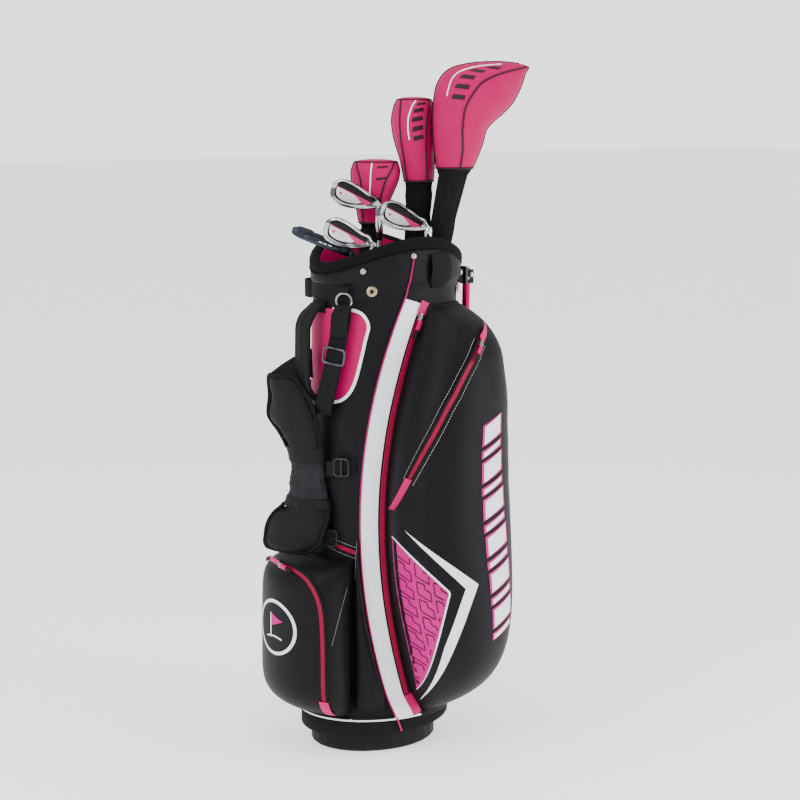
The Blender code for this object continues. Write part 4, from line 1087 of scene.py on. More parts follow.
def pad_slab(name, first, last, thick, finish, edge=1.0, columns=16, rows=30):
    outer, inner = [], []
    for t in spaced(first, last, rows):
        row_out, row_in = [], []
        for s in spaced(-edge, edge, columns):
            round_off = (1 - abs(s / edge) ** 4) ** 0.5 * 0.8 + 0.2
            row_out.append(pad_spot(t, s, thick / 2 * round_off))
            row_in.append(pad_spot(t, s, -thick / 2 * round_off))
        outer.append(row_out)
        inner.append(row_in)
    return grid_slab(name, outer, inner, finish)


def strap_pads():
    """One long pad: a wide wing at each end, and a soft ruched waist."""
    wing = puffed(pad_slab("pad_wing_upper", 0.012, 0.455, 0.0135, "pad_fabric"), cap=0.006)
    waist = puffed(pad_slab("pad_waist", 0.42, 0.625, 0.0130, "mesh_fabric", 0.96), cap=0.006)
    low = puffed(pad_slab("pad_wing_lower", 0.59, 0.985, 0.0135, "pad_fabric"), cap=0.006)

    def ruche(point, normal):
        pull = creases(point, 0.030, 0.0030, (0.6, 0.6, 3.0), 1.0) + creases(point, 0.012, 0.0009, (1, 1, 2.0), 6.0)
        return normal * pull

    nudge(waist, ruche)
    nudge(wing, lambda p, n: n * creases(p, 0.06, 0.0012, seed=3.0))
    nudge(low, lambda p, n: n * creases(p, 0.06, 0.0012, seed=8.0))
    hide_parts("strap_pad_upper")
    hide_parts("strap_pad_lower")
    for name, spots in (("pad_seam_upper", ((0.365, -1.0), (0.350, -0.3), (0.325, 0.4), (0.305, 1.0))),
                        ("pad_seam_lower", ((0.690, -1.0), (0.700, -0.3), (0.705, 0.4), (0.700, 1.0)))):
        run = [pad_spot(p.x, p.y, 0.0080 - 0.0035 * abs(p.y) ** 4) for p in curve_through(spots, 8)]
        cord(name, even(run, 0.003), 0.0017, "binding")
    # Wide bands sewn over the ends of the waist.
    for name, first, last in (("pad_band_upper", 0.395, 0.462), ("pad_band_lower", 0.592, 0.655)):
        rings = [[pad_spot(t, 1.015 * squared(math.cos(a), 0.55), 0.0112 * squared(math.sin(a), 0.6))
                  for a in circle(40)] for t in spaced(first, last, 7)]
        lofted(name, rings, "pad_fabric")
    # Bound edges all round each wing.
    for name, first, last in (("pad_binding_upper", 0.02, 0.405), ("pad_binding_lower", 0.650, 0.975)):
        run = [pad_spot(t, 0.955, 0.0035) for t in spaced(first, last, 40)]
        back = [pad_spot(t, -0.955, 0.0035) for t in spaced(last, first, 40)]
        if first < 0.1:
            loop = back[-1:] + [pad_spot(first, s, 0.004) for s in (-0.5, 0.0, 0.5)] + run
        else:
            loop = run + [pad_spot(last, s, 0.004) for s in (0.5, 0.0, -0.5)] + back[:1]
        cord(name + "_a", even(loop, 0.005), 0.0040, "binding")
        cord(name + "_b", even(back, 0.005), 0.0040, "binding")


# ---- Straps, handle and their fittings -----------------------------------------------------------
WEBBING = [(28.0, 0.766, 0.010), (26.5, 0.735, 0.0115), (24.0, 0.690, 0.0180), (21.0, 0.650, 0.0210),
           (17.0, 0.612, 0.0220), (13.0, 0.585, 0.0200)]
WEB_SIDE = Vector((0.91, 0.41, 0.0)).normalized()
HANDLE_Z, HANDLE_OUT, HANDLE_ANGLE = (0.598, 0.766), 0.034, -2.0


# Across a strap: (share of its half-width, share of its thickness to each side).
STRAP_SECTION = ((-1, 0.25), (-0.9, 0.5), (0, 0.5), (0.9, 0.5), (1, 0.25))


def ribbon(name, centres, side, half, thickness):
    """A flat strap along centres, its width along side."""
    outer, inner = [], []
    for p, way in zip(centres, tangents(centres)):
        out = side.cross(-way).normalized()
        if out.dot(p.xy.to_3d()) < 0:
            out = -out
        outer.append([p + side * half * s + out * thickness * h for s, h in STRAP_SECTION])
        inner.append([p + side * half * s - out * thickness * h for s, h in STRAP_SECTION])
    return grid_slab(name, outer, inner, "webbing")


def straps():
    """The webbing of the shoulder strap, its fixings and the loops beside it."""
    line = even([on_tube(p.x, p.y, p.z) for p in curve_through(WEBBING, 8)], 0.004)
    web = ribbon("strap_web_upper", line, WEB_SIDE, 0.0172, 0.0022)
    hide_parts("strap_webbing_upper")
    # The webbing goes up through the ring and is sewn back on itself.
    turn_middle, turn_radius = on_tube(29, 0.775, 0.012) - UP * 0.0125, 0.0052
    out = (on_tube(28, 0.76, 0.01) - on_tube(28, 0.76)).normalized()
    turn = [turn_middle + (UP * math.sin(a) - out * math.cos(a)) * turn_radius
            for a in spaced(math.pi * 0.15, math.pi * 1.10, 12)]
    tail = [on_tube(27.0, z, 0.0185 + (0.755 - z) * 0.10) for z in (0.752, 0.742, 0.730, 0.716)]
    ribbon("strap_web_loop", turn + tail, WEB_SIDE, 0.0165, 0.0020)
    # The lower end of the webbing, folded back and stitched.
    low = [on_tube(p.x, p.y, p.z + 0.0026) for p in curve_through(WEBBING[2:], 8)]
    ribbon("strap_web_tail", even(low, 0.004)[4:-2], WEB_SIDE, 0.0168, 0.0020)
    line = [on_tube(40, 0.498, 0.004), on_tube(34, 0.497, 0.0065), on_tube(28, 0.496, 0.010),
            on_tube(22, 0.494, 0.0145), on_tube(17, 0.492, 0.018)]
    lower = ribbon("strap_web_lower", curve_through(line, 5), UP, 0.0125, 0.0022)
    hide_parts("strap_webbing_lower")
    ladder_buckle("strap_buckle", facing_out(on_tube, 29.0, 0.496, 0.0125))
    low_line = curve_through([on_tube(22, 0.372, 0.006), on_tube(16, 0.376, 0.012), on_tube(10, 0.380, 0.016)], 6)
    ribbon("strap_web_base", low_line, UP, 0.0125, 0.0022)
    # A dark webbing patch behind the ring, and the loop that stands off beyond the handle.
    patch = [(a, 0.7870) for a in spaced(-24, 53, 30)]
    strip("ring_patch", laid(on_cuff, patch, 0.0006), 0.0125, 0.0020, "webbing", columns=3)
    hold = [on_cuff(29 + a, 0.7885 + z, out) for a, z, out in
            ((-1.5, -0.004, 0.003), (0.0, -0.001, 0.0085), (0.0, 0.0015, 0.0125), (0.0, 0.006, 0.0120),
             (0.0, 0.009, 0.007), (0.0, 0.010, 0.003))]
    ribbon("ring_keeper", curve_through(hold, 4), WEB_SIDE, 0.0085, 0.0018)
    loop = [on_cuff(-24.0 - 30.0 * t, 0.7870, 0.0020 + 0.0125 * math.sin(math.pi * t) ** 0.8)
            for t in spaced(0.0, 1.0, 20)]
    ribbon("side_loop", loop, UP, 0.0150, 0.0024)


def ladder_buckle(name, place):
    """A bevelled frame with a bar across its middle."""
    wide, tall, bar = 0.0150, 0.0165, 0.0022
    rings = [[place @ Vector((u * wide * grow, v * tall * grow, h)) for u, v in rounded_square(40, 0.4)]
             for grow, h in ((1.0, -0.0015), (1.0, 0.0010), (0.93, 0.0022), (0.80, 0.0022), (0.76, 0.0010),
                             (0.76, -0.0015))]
    lofted(name + "_frame", rings, "buckle", closed=True)
    cord(name + "_bar", [place @ Vector((0.0, tall * v, 0.0006)) for v in (-0.8, 0.0, 0.8)], bar, "buckle")


def handle():
    """A padded carry handle, ribbed down its length, with sewn-down ends."""
    sideways, sewn = Vector((1, 0, 0)), 0.0078
    shares = spaced(0.0, 1.0, 41)
    centres = []
    for share in shares:
        bow = math.sin(0.5 * math.pi * min(1.0, 1.375 * math.sin(math.pi * share)))
        centres.append(on_tube(HANDLE_ANGLE, HANDLE_Z[0] + share * (HANDLE_Z[1] - HANDLE_Z[0]),
                               sewn + (HANDLE_OUT - sewn) * bow))
    rings = []
    for share, p, way in zip(shares, centres, tangents(centres)):
        out = sideways.cross(way).normalized()
        if out.y > 0:
            out = -out
        full = smooth(share / 0.12) * smooth((1 - share) / 0.12)
        half, thick = 0.0165 + 0.0035 * full, 0.0028 + 0.0036 * full
        rings.append([p + sideways * half * squared(math.cos(b), 0.7)
                      + out * thick * squared(math.sin(b), 0.8) * (1.0 + 0.16 * full * math.cos(8 * b))
                      for b in circle(36)])
    grip = lofted("handle_pad", rings, "pad_fabric")
    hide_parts("carry_handle")
    for letter, corner in (("a", 18), ("b", 0)):
        cord("handle_edge_" + letter, [ring[corner] for ring in rings], 0.0016, "binding")
    for name, z in (("low", HANDLE_Z[0] + 0.004), ("high", HANDLE_Z[1] - 0.004)):
        path = [(HANDLE_ANGLE + a, z) for a in spaced(-10, 10, 12)]
        run = laid(on_skin, path, 0.0022)
        strip("handle_anchor_" + name, run, 0.0100, 0.0020, "webbing", columns=2, crown=0.0004)


def hip_cushion():
    """The pad that rests on a player's hip, bound in pink, between the legs."""
    low, high, reach = 0.345, 0.485, 11.0

    def spot(across, up, out):
        return on_tube(180.0 - reach + 2 * reach * across, low + (high - low) * up, out)

    outer = [[spot(s, t, 0.0080 + max(0.005, 0.0140 * swell(t, 3.0) * swell(s, 3.0))) for s in eased(24)]
             for t in eased(40)]
    inner = [[spot(s, t, 0.0082) for s in eased(24)] for t in eased(40)]
    pad = grid_slab("hip_cushion", outer, inner, "mesh_fabric")
    nudge(pad, lambda p, n: n * creases(p, 0.035, 0.0009, seed=5.0))
    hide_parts("hip_pad")
    rim = [spot(0.5 + 0.5 * u, 0.5 + 0.5 * v, 0.0115) for u, v in rounded_square(96, 0.45)]
    cord("hip_binding", rim, 0.0026, "tab", closed=True)


# ---- Head covers ---------------------------------------------------------------------------------
COVERS = {
    "driver": ((0.1250, 0.0195, 0.987), [(0, 0, 0.0300, 0.030, 0), (0.006, 0.037, 0.040, 0.040, 2),
               (0.009, 0.066, 0.045, 0.047, 0), (0.018, 0.100, 0.055, 0.052, -17),
               (0.033, 0.125, 0.0640, 0.053, -17), (0.048, 0.1470, 0.0620, 0.050, -17),
               (0.069, 0.161, 0.048, 0.042, -18), (0.095, 0.1700, 0.026, 0.027, -20),
               (0.119, 0.1725, 0.007, 0.010, -22)]),
    "fairway": ((0.065, 0.052, 0.964), [(0, 0, 0.0240, 0.025, 0), (-0.003, 0.037, 0.0285, 0.033, 0),
                (-0.0065, 0.060, 0.0318, 0.039, 0), (-0.0094, 0.083, 0.0345, 0.043, 0),
                (-0.0108, 0.107, 0.0350, 0.044, 0), (-0.0090, 0.128, 0.0325, 0.041, 0),
                (-0.0080, 0.1395, 0.028, 0.034, 0)]),
    "hybrid": ((-0.0163, 0.038, 0.894), [(0, 0, 0.0200, 0.020, 0), (0.001, 0.030, 0.0270, 0.024, 0),
               (0.005, 0.063, 0.0365, 0.028, 0), (0.0065, 0.080, 0.0405, 0.029, 0),
               (0.007, 0.093, 0.0400, 0.029, 0), (0.0075, 0.1045, 0.0360, 0.026, 0)]),
}
SOCK_BOTTOM = {"driver": 0.842, "fairway": 0.838, "hybrid": 0.835}
SOCK_R = {"driver": 0.0205, "fairway": 0.0215, "hybrid": 0.0160}
CLUBS = {
    "driver": ((-0.010, 0.045), (0.0965, 0.022)), "fairway": ((0.018, 0.068), (0.065, 0.051)),
    "hybrid": ((-0.045, 0.020), (-0.019, 0.0385)), "iron_7": ((-0.005, -0.020), (-0.002, -0.016)),
    "iron_9": ((0.045, -0.040), (0.079, -0.035)), "wedge": ((-0.030, -0.075), (-0.012, -0.0835)),
    "putter": ((-0.070, -0.055), (-0.048, -0.062)),
}
BUTT_Z, MOUTH_Z = 0.0705, 0.86
# Down each cover, from hem to crown: how far across its front each seam and the white line run.
COVER_SEAMS = {
    "driver": {"seam_a": [0.25, 0.14, 0.05, -0.02, -0.04, 0.0, 0.10, 0.30, 0.60], "seam_b": None},
    "fairway": {"seam_a": [-0.80, -0.72, -0.66, -0.60, -0.58, -0.64, -0.76],
                "seam_b": [0.50, 0.50, 0.52, 0.56, 0.62, 0.74, 0.86]},
    "hybrid": {"seam_a": [-0.62, -0.58, -0.56, -0.60, -0.72, -0.86],
               "seam_b": [0.44, 0.40, 0.40, 0.48, 0.66, 0.84]},
}
WHITE_LINES = {
    "driver": (0.42, 0.86, [-0.62, -0.66, -0.70, -0.70, -0.66, -0.58, -0.48]),
    "fairway": (0.42, 0.97, [-0.20, -0.20, -0.16, -0.06, 0.06]),
    "hybrid": (0.22, 0.97, [-0.14, -0.14, -0.14, -0.13, -0.12]),
}


def on_club(club, z):
    """A point on the axis of a club's shaft."""
    (low_across, low_away), (high_across, high_away) = CLUBS[club]
    butt = at(low_across, low_away, BUTT_Z)
    way = (at(high_across, high_away, MOUTH_Z) - butt).normalized()
    return butt + way * ((z - butt.z) / way.z)


def club_way(club):
    """The direction up a club's shaft."""
    return (on_club(club, 1.0) - on_club(club, 0.5)).normalized()


def station_at(club, t):
    """The cover's ring at a share of the way from hem to crown."""
    stations = SMOOTH_STATIONS[club]
    place = max(0.0, min(len(stations) - 1.0001, t * (len(stations) - 1)))
    k = int(place)
    return [a + (b - a) * (place - k) for a, b in zip(stations[k], stations[k + 1])]


def smooth_stations(stations):
    firsts = curve_through([s[:3] for s in stations], 6)
    lasts = curve_through([s[3:] for s in stations], 6)
    return [(*a, *b) for a, b in zip(firsts, lasts)]


SMOOTH_STATIONS = {club: smooth_stations(stations) for club, (_, stations) in COVERS.items()}


def cover_face(club):
    """The cover's surface as a function of (how far across the front, share of the height)."""
    (across, away, z), _ = COVERS[club]

    def face(s, t, lift=0.0, angle=None):
        shift, rise, half_wide, half_deep, tilt = station_at(club, t)
        lean = math.radians(tilt)
        side = ACROSS * math.cos(lean) + UP * math.sin(lean)
        a = -math.acos(max(-1.0, min(1.0, s))) if angle is None else angle
        c, d = squared(math.cos(a), 0.88), squared(math.sin(a), 0.88)
        centre = at(across + shift, away, z + rise)
        flat = centre + side * half_wide * c + AWAY * half_deep * d
        fold = creases(flat, 0.045, 0.0011, (1.0, 1.0, 1.0), 11.0) * swell(min(1.0, t), 6.0)
        return flat + (side * c + AWAY * d).normalized() * (fold + lift)

    return face


def head_covers():
    """Each wood's cover with its seams, line and slashes, over a knitted sock."""
    for club in COVERS:
        body = club + "_cover"
        face = cover_face(club)
        around = circle(64)
        rings = [[face(0.0, t, angle=a) for a in around] for t in spaced(0.0, 1.0, 60)]
        # The crown closes over in three shrinking rings.
        top = rings[-1]
        high = 0.25 if club == "driver" else 1.0
        for keep, lift in ((0.9, 0.0016), (0.66, 0.0030), (0.3, 0.0038)):
            rings.append([p + UP * lift * high for p in shrunk(top, keep)])
        fabric = lofted(club + "_cover_fabric", [shrunk(rings[0], 0.93)] + rings, "pink_fabric", body)
        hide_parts(club + "_cover")
        hem = [face(0.0, 0.004, 0.0006, angle=a) for a in around]
        cord(club + "_cover_hem", hem, 0.0019, "dark_line", body, closed=True)
        for name, line in COVER_SEAMS[club].items():
            if not line:
                continue
            path = curve_through(list(zip(line, spaced(0.0, 0.99, len(line)))), 8)
            run = even([face(s, t, 0.0002) for s, t in path], 0.003)
            cord("%s_cover_%s" % (club, name), run, 0.0016, "dark_line", body)
        for name, edge in (("edge_a", -0.999), ("edge_b", 0.999)):
            run = [face(edge, t, 0.0002) for t in spaced(0.0, 0.99, 50)]
            cord("%s_cover_%s" % (club, name), even(run, 0.003), 0.0015, "binding", body)
        if club != "driver":
            crown = [face(0.0, 0.995, 0.0002, angle=a) for a in around]
            cord(club + "_cover_crown", crown, 0.0012, "dark_line", body, closed=True)
        first, last, line = WHITE_LINES[club]
        path = curve_through(list(zip(line, spaced(first, last, len(line)))), 6)
        run = [(face(s, t, 0.0002), (face(s, t, 0.004) - face(s, t)).normalized()) for s, t in path]
        strip(club + "_cover_line", run, 0.0011, 0.0006, "white_print", body)
        cover_marks(club, face, first, last, line, body)
        knit_sock(club, body)


def shrunk(ring, keep):
    """The ring drawn in towards its middle."""
    middle = sum(ring, Vector()) / len(ring)
    return [middle + (p - middle) * keep for p in ring]


def cover_marks(club, face, first, last, line, body):
    """A short column of dark slashes beside the white line."""
    gap, reach, tall = (0.14, 0.34, 0.026) if club == "driver" else (0.17, 0.46, 0.036)
    for i, share in enumerate(spaced(0.04, 0.84, 3 if club == "hybrid" else 5)):
        t = first + (last - first) * share
        start = line[int((len(line) - 1) * share)] + gap
        outline = [(start, t - tall), (start + reach, t - tall * 0.2), (start + reach * 0.92, t + tall * 1.2),
                   (start + 0.02, t + tall * 0.5)]
        flat_shape("%s_cover_mark_%d" % (club, i), face, outline, 0.0003, 0.0005, "dark_line", body, rows=4)


def knit_sock(club, body):
    """The knitted tube under the cover, gathered at its top and ribbed all the way down."""
    (across, away, z), stations = COVERS[club]
    hem, low = at(across, away, z - 0.0005), on_club(club, SOCK_BOTTOM[club])
    ribs = 34
    rings = []
    for t in spaced(0.0, 1.0, 40):
        gather = math.exp(-((t - 0.10) / 0.07) ** 2)
        radius = SOCK_R[club] + (stations[0][2] - 0.0012 - SOCK_R[club]) * smooth(1 - t / 0.13) - 0.0012 * gather
        centre = hem.lerp(low, t)
        radius += 0.0013 * math.sin(2.0 * math.pi * 1.6 * t) * smooth(t / 0.2)
        ring = []
        for a in circle(ribs * 4):
            rib = 0.00055 * math.cos(ribs * a) * (1.0 + 1.2 * gather)
            slack = creases(Vector((math.cos(a), math.sin(a), t * 5.0)), 0.9, 0.0008, seed=3.0)
            r = radius + rib + slack
            ring.append(centre + r * (ACROSS * math.cos(a) + AWAY * math.sin(a)))
        rings.append(ring)
    inner = [shrunk(rings[-1], 0.86), shrunk(rings[0], 0.86)]
    sock = lofted(club + "_sock_knit", rings + inner, "knit", body, closed=True)
    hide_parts(club + "_sock")


# ---- Zip sliders, buckles and rivets -------------------------------------------------------------
def slider(name, run, body, step):
    """A zip slider with its bridge, and a pull of tape with a moulded end. The run starts at the slider's head."""
    def part(first, last, lift):
        return [(p + n * lift, n) for p, n in run[round(first / step):round(last / step) + 1]]

    under = part(0.0, 0.013, 0.0020)
    plate = strip(name + "_plate", under, 0.0046, 0.0022, "nickel", body, columns=4, crown=0.0009)
    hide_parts(body)
    over = part(0.001, 0.013, 0.0040)
    bow = [p + n * 0.0028 * math.sin(math.pi * i / (len(over) - 1)) for i, (p, n) in enumerate(over)]
    cord(name + "_bridge", bow, 0.0009, "nickel", body)
    strip(name + "_pull", part(0.0125, 0.030, 0.0050), 0.0040, 0.0014, "tab", body, columns=3, crown=0.0006)
    strip(name + "_grip", part(0.029, 0.045, 0.0050), 0.0030, 0.0021, "tip_rubber", body, columns=3, crown=0.0008)


def zip_pulls():
    """The five sliders, and the covered start of the ball pocket's zip."""
    step = 0.001
    for side, hand in SIDES:
        path = [(side * (band_end(z) + ZIP_ANGLE / 2), z) for z in spaced(0.7515, 0.690, 40)]
        slider("long_pull_" + hand, laid(on_skin, path, 0.0022, step), "zip_slider_long_" + hand, step)
        run = laid(side_face(side, PRINT_START), curve_through(DIAGONAL, 10), 0.0022, step)
        slider("diagonal_pull_" + hand, run, "zip_slider_diagonal_" + hand, step)
    run = laid(ball_pocket, curve_through(BALL_ARCH, 10), 0.0022, step)
    slider("ball_pull", run[6:], "zip_slider_ball", step)
    # The zip's garage: a pink tab sewn over its start, with a moulded grip that hangs over the corner.
    tab = laid(ball_pocket, [(0.475, 0.3262), (0.40, 0.3262), (0.33, 0.3255), (0.27, 0.3235)], 0.0040, 0.002)
    strip("ball_zip_start", tab, 0.0050, 0.0016, "tab", columns=3, crown=0.0008)
    grip = laid(ball_pocket, [(0.285, 0.3240), (0.23, 0.3205), (0.18, 0.3150)], 0.0046, 0.002)
    strip("ball_zip_grip", grip, 0.0034, 0.0024, "tip_rubber", columns=3, crown=0.0008)


def frame_buckle(name, place, wide, tall, wire, finish, body="bag"):
    """A flat frame with rounded corners."""
    depth = 0.0018
    rings = [[place @ Vector((u * (wide - wire * inward), v * (tall - wire * inward), h * depth))
              for u, v in rounded_square(48, 0.35)]
             for inward, h in ((0.0, -0.6), (0.0, 0.4), (0.25, 1.0), (0.75, 1.0), (1.0, 0.4), (1.0, -0.6),
                               (0.75, -1.0), (0.25, -1.0))]
    return lofted(name, rings, finish, body, closed=True)


def hardware():
    """The slide adjuster, the rivets and the lower frame buckle."""
    middle = on_tube(23.6, 0.684, 0.0185)
    out = (on_tube(23.6, 0.684, 0.03) - middle).normalized()
    middle += out * 0.0045
    side = Matrix.Rotation(math.radians(-8.0), 3, out) @ (WEB_SIDE - out * WEB_SIDE.dot(out)).normalized()
    place = framed(middle, side, out)
    glide = frame_buckle("glide_frame", place, 0.0215, 0.0150, 0.0036, "gunmetal", "strap_glide")
    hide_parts("strap_glide")
    rivet = [(0.0, 0.0), (0.0046, 0.0), (0.0046, 0.0006), (0.0036, 0.0016), (0.0018, 0.0021), (0.0, 0.0022)]
    for side, hand in SIDES:
        turned("rivet_" + hand, rivet, facing(Vector((side * 0.0452, 0.160, 0.8035)), Vector((side, 0.0, 0.0))),
               "nickel")
    base = facing_out(on_tube, 20.0, 0.373, 0.0100)
    frame_buckle("base_buckle", base, 0.0125, 0.0150, 0.0030, "buckle")
    cord("base_buckle_bar", [base @ Vector((u, 0.0, 0.0005)) for u in (-0.01125, 0.0, 0.01125)], 0.00135, "buckle")


def strap_flap():
    """The strap's thin end, folded back behind the pad's top towards the bag."""
    top_pad, top_bag = pad_spot(0.004, -0.95), on_tube(-8.0, 0.690, 0.010)
    low_pad, low_bag = pad_spot(0.06, 0.98), on_tube(-5.0, 0.640, 0.010)
    outer, inner = [], []
    for t in spaced(0.0, 1.0, 14):
        first, last = top_pad.lerp(top_bag, t), low_pad.lerp(low_bag, t)
        normal = (last - first).cross(top_bag - top_pad).normalized()
        row_out, row_in = [], []
        for s in spaced(0.0, 1.0, 10):
            spot = first.lerp(last, s) + UP * 0.004 * math.sin(math.pi * t)
            spot += normal * creases(spot, 0.03, 0.0012, seed=4.0)
            row_out.append(spot + normal * 0.0011)
            row_in.append(spot - normal * 0.0011)
        outer.append(row_out)
        inner.append(row_in)
    grid_slab("strap_flap", outer, inner, "webbing")


# ---- Irons and putter ----------------------------------------------------------------------------
HEEL_Z = {"iron_7": 0.927, "iron_9": 0.890, "wedge": 0.866, "putter": 0.852}
LIE = {"iron_7": 27.0, "iron_9": 29.0, "wedge": 28.0, "putter": 20.0}
# An iron from heel to toe: (along, top line, sole, thickness at the top line, thickness at the sole).
BLADE = [(0.002, -0.006, 0.004, 0.008, 0.010), (0.012, -0.013, 0.010, 0.006, 0.015),
         (0.026, -0.0205, 0.010, 0.005, 0.018), (0.045, -0.0275, 0.0130, 0.005, 0.019),
         (0.062, -0.0303, 0.0142, 0.005, 0.019), (0.075, -0.0285, 0.0117, 0.005, 0.017),
         (0.083, -0.0200, 0.0050, 0.005, 0.012), (0.0862, -0.0080, 0.0, 0.005, 0.006)]


# The blade's rings from its face round its edge to the cavity's floor: (inset, share of the thickness, recess).
BLADE_RINGS = [(0.0050, 0.0, 0.0), (0.0012, 0.0, 0.0), (0.0003, 0.08, 0.0), (0.0, 0.20, 0.0), (0.0, 0.80, 0.0),
               (0.0006, 0.95, 0.0), (0.0018, 1.0, 0.0), (0.0040, 1.0, 0.0003), (0.0048, 1.0, 0.0010),
               (0.0053, 1.0, 0.0028), (0.0062, 1.0, 0.0031), (0.0110, 1.0, 0.0031)]
FLOOR_RECESS = 0.0034


def blade_frame(club):
    """A blade's heel, and its directions towards the toe and towards the sole."""
    a = math.radians(LIE[club])
    toe = -ACROSS * math.cos(a) + UP * math.sin(a)
    sole = ACROSS * math.sin(a) + UP * math.cos(a)
    return on_club(club, HEEL_Z[club]), toe, sole


def blade_outline():
    """The blade's edge as a closed smooth loop of (along, up)."""
    top = [(s[0], s[1]) for s in BLADE]
    sole = [(s[0], s[2]) for s in BLADE]
    loop = top + [(0.0868, -0.004)] + sole[::-1] + [(0.0, -0.001)]
    padded = loop[-2:] + loop + loop[:2]
    run = curve_through(padded, 8)[16:-16]
    return even([Vector((p.x, p.y, 0.0)) for p in run], 0.0022)[:-1]


def inset(outline, distance):
    """The outline moved in by a distance."""
    n = len(outline)
    middle = sum(outline, Vector()) / n
    moved = []
    for i, p in enumerate(outline):
        way = (outline[(i + 1) % n] - outline[i - 1]).normalized()
        normal = Vector((way.y, -way.x, 0.0))
        if normal.dot(middle - p) < 0:
            normal = -normal
        moved.append(p + normal * min(distance, (middle - p).length * 0.55))
    return moved


def blade_thickness(p):
    """The blade is thin at its top line and thick at its sole."""
    share = min(1.0, max(0.0, (p.y + 0.030) / 0.044))
    narrow = smooth((0.0905 - p.x) / 0.014)
    return (0.005 + 0.0135 * share * share) * (0.45 + 0.55 * narrow)


def iron(club):
    """A cavity-backed head, with its badge and hosel."""
    heel, toe, sole = blade_frame(club)

    def place(p, share, recess=0.0):
        """share runs from the struck face (0) to the back (1). recess is metres in from there."""
        return heel + toe * p.x + sole * p.y + AWAY * (blade_thickness(p) * (0.5 - share) + recess)

    edge = blade_outline()
    rings = [[place(p, share, recess) for p in inset(edge, inward)] for inward, share, recess in BLADE_RINGS]
    head = lofted(club + "_blade", rings, "chrome", club)
    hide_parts(club + "_head")

    def plate(name, outline, lift, finish, smooth_corners=False):
        """A thin plate on the floor of the cavity."""
        flat = curve_through(outline + outline[:1], 5)[:-1] if smooth_corners else [Vector(p) for p in outline]
        rings = [[place(p, 1.0, FLOOR_RECESS - up) for p in flat] for up in (0.0, lift)]
        lofted("%s_%s" % (club, name), rings, finish, club)

    floor_edge = [(p.x, p.y) for p in inset(edge, 0.0070)][::3]
    plate("floor", floor_edge, 0.0004, "black_enamel", True)
    plate("badge", [(0.022, -0.0036), (0.033, -0.0132), (0.046, -0.0186), (0.061, -0.0206), (0.0715, -0.0178),
                    (0.0758, -0.0115), (0.0755, -0.0052), (0.060, -0.0036), (0.040, -0.0036)],
          0.0010, "badge_silver", True)
    plate("bar", [(0.0115, 0.0000), (0.0150, 0.0040), (0.030, 0.0048), (0.050, 0.0072), (0.066, 0.0078),
                  (0.0755, 0.0040), (0.0785, -0.0020), (0.060, -0.0022), (0.035, -0.0022), (0.014, -0.0022)],
          0.0018, "black_enamel", True)
    plate("pink_line", [(0.0140, -0.0023), (0.0780, -0.0023), (0.0782, -0.0040), (0.0150, -0.0040)], 0.0014,
          "pink_enamel")
    plate("pink_wedge", [(0.0140, -0.0038), (0.0460, -0.0038), (0.0330, -0.0090), (0.0250, -0.0125),
                         (0.0190, -0.0100)], 0.0015, "pink_enamel")
    plate("mark_a", [(0.0655, -0.0080), (0.0715, -0.0105), (0.0655, -0.0150)], 0.0013, "pink_enamel")
    for i in range(3):
        z, end = -0.0095 - 0.0022 * i, 0.0455 + 0.003 * i
        plate("mark_b%d" % i, [(0.0600, z), (end, z), (end, z - 0.0007), (0.0600, z - 0.0007)], 0.0012,
              "satin_chrome")
    hosel(club, heel, toe, sole, "chrome")


def hosel(club, heel, toe, sole, finish, radius=0.0066, length=0.045):
    """The socket that the shaft is glued into, its ferrule, and the neck between it and the head."""
    way = club_way(club)
    across = way.cross(AWAY).normalized()
    base = heel - way * length
    frame_place = framed(base, across, way)
    turned(club + "_hosel", [(0.0, 0.0), (radius * 0.97, 0.0), (radius, 0.0008), (radius, length * 0.78),
                             (radius * 1.05, length * 0.90), (radius * 0.95, length + 0.0015),
                             (radius * 0.6, length + 0.0035), (0.0, length + 0.004)], frame_place, finish, club, 28)
    turned(club + "_ferrule", [(0.0, -0.0140), (0.0050, -0.0140), (0.0055, -0.0120), (0.0062, -0.0030),
                               (0.0064, -0.0006), (0.0, -0.0006)], frame_place, "black_enamel", club, 24)
    # The blade flows into the hosel.
    rings = []
    for t in spaced(0.0, 1.0, 12):
        centre = heel - way * 0.012 * (1 - t) + toe * 0.012 * t * t - sole * 0.0015 * t
        size = radius * (1.0 - 0.22 * t)
        tall = (across * (1 - t) + sole * t).normalized()
        rings.append([centre + AWAY * size * (1.0 - 0.25 * t) * math.cos(a) + tall * size * math.sin(a)
                      for a in circle(20)])
    lofted(club + "_neck", rings, finish, club)


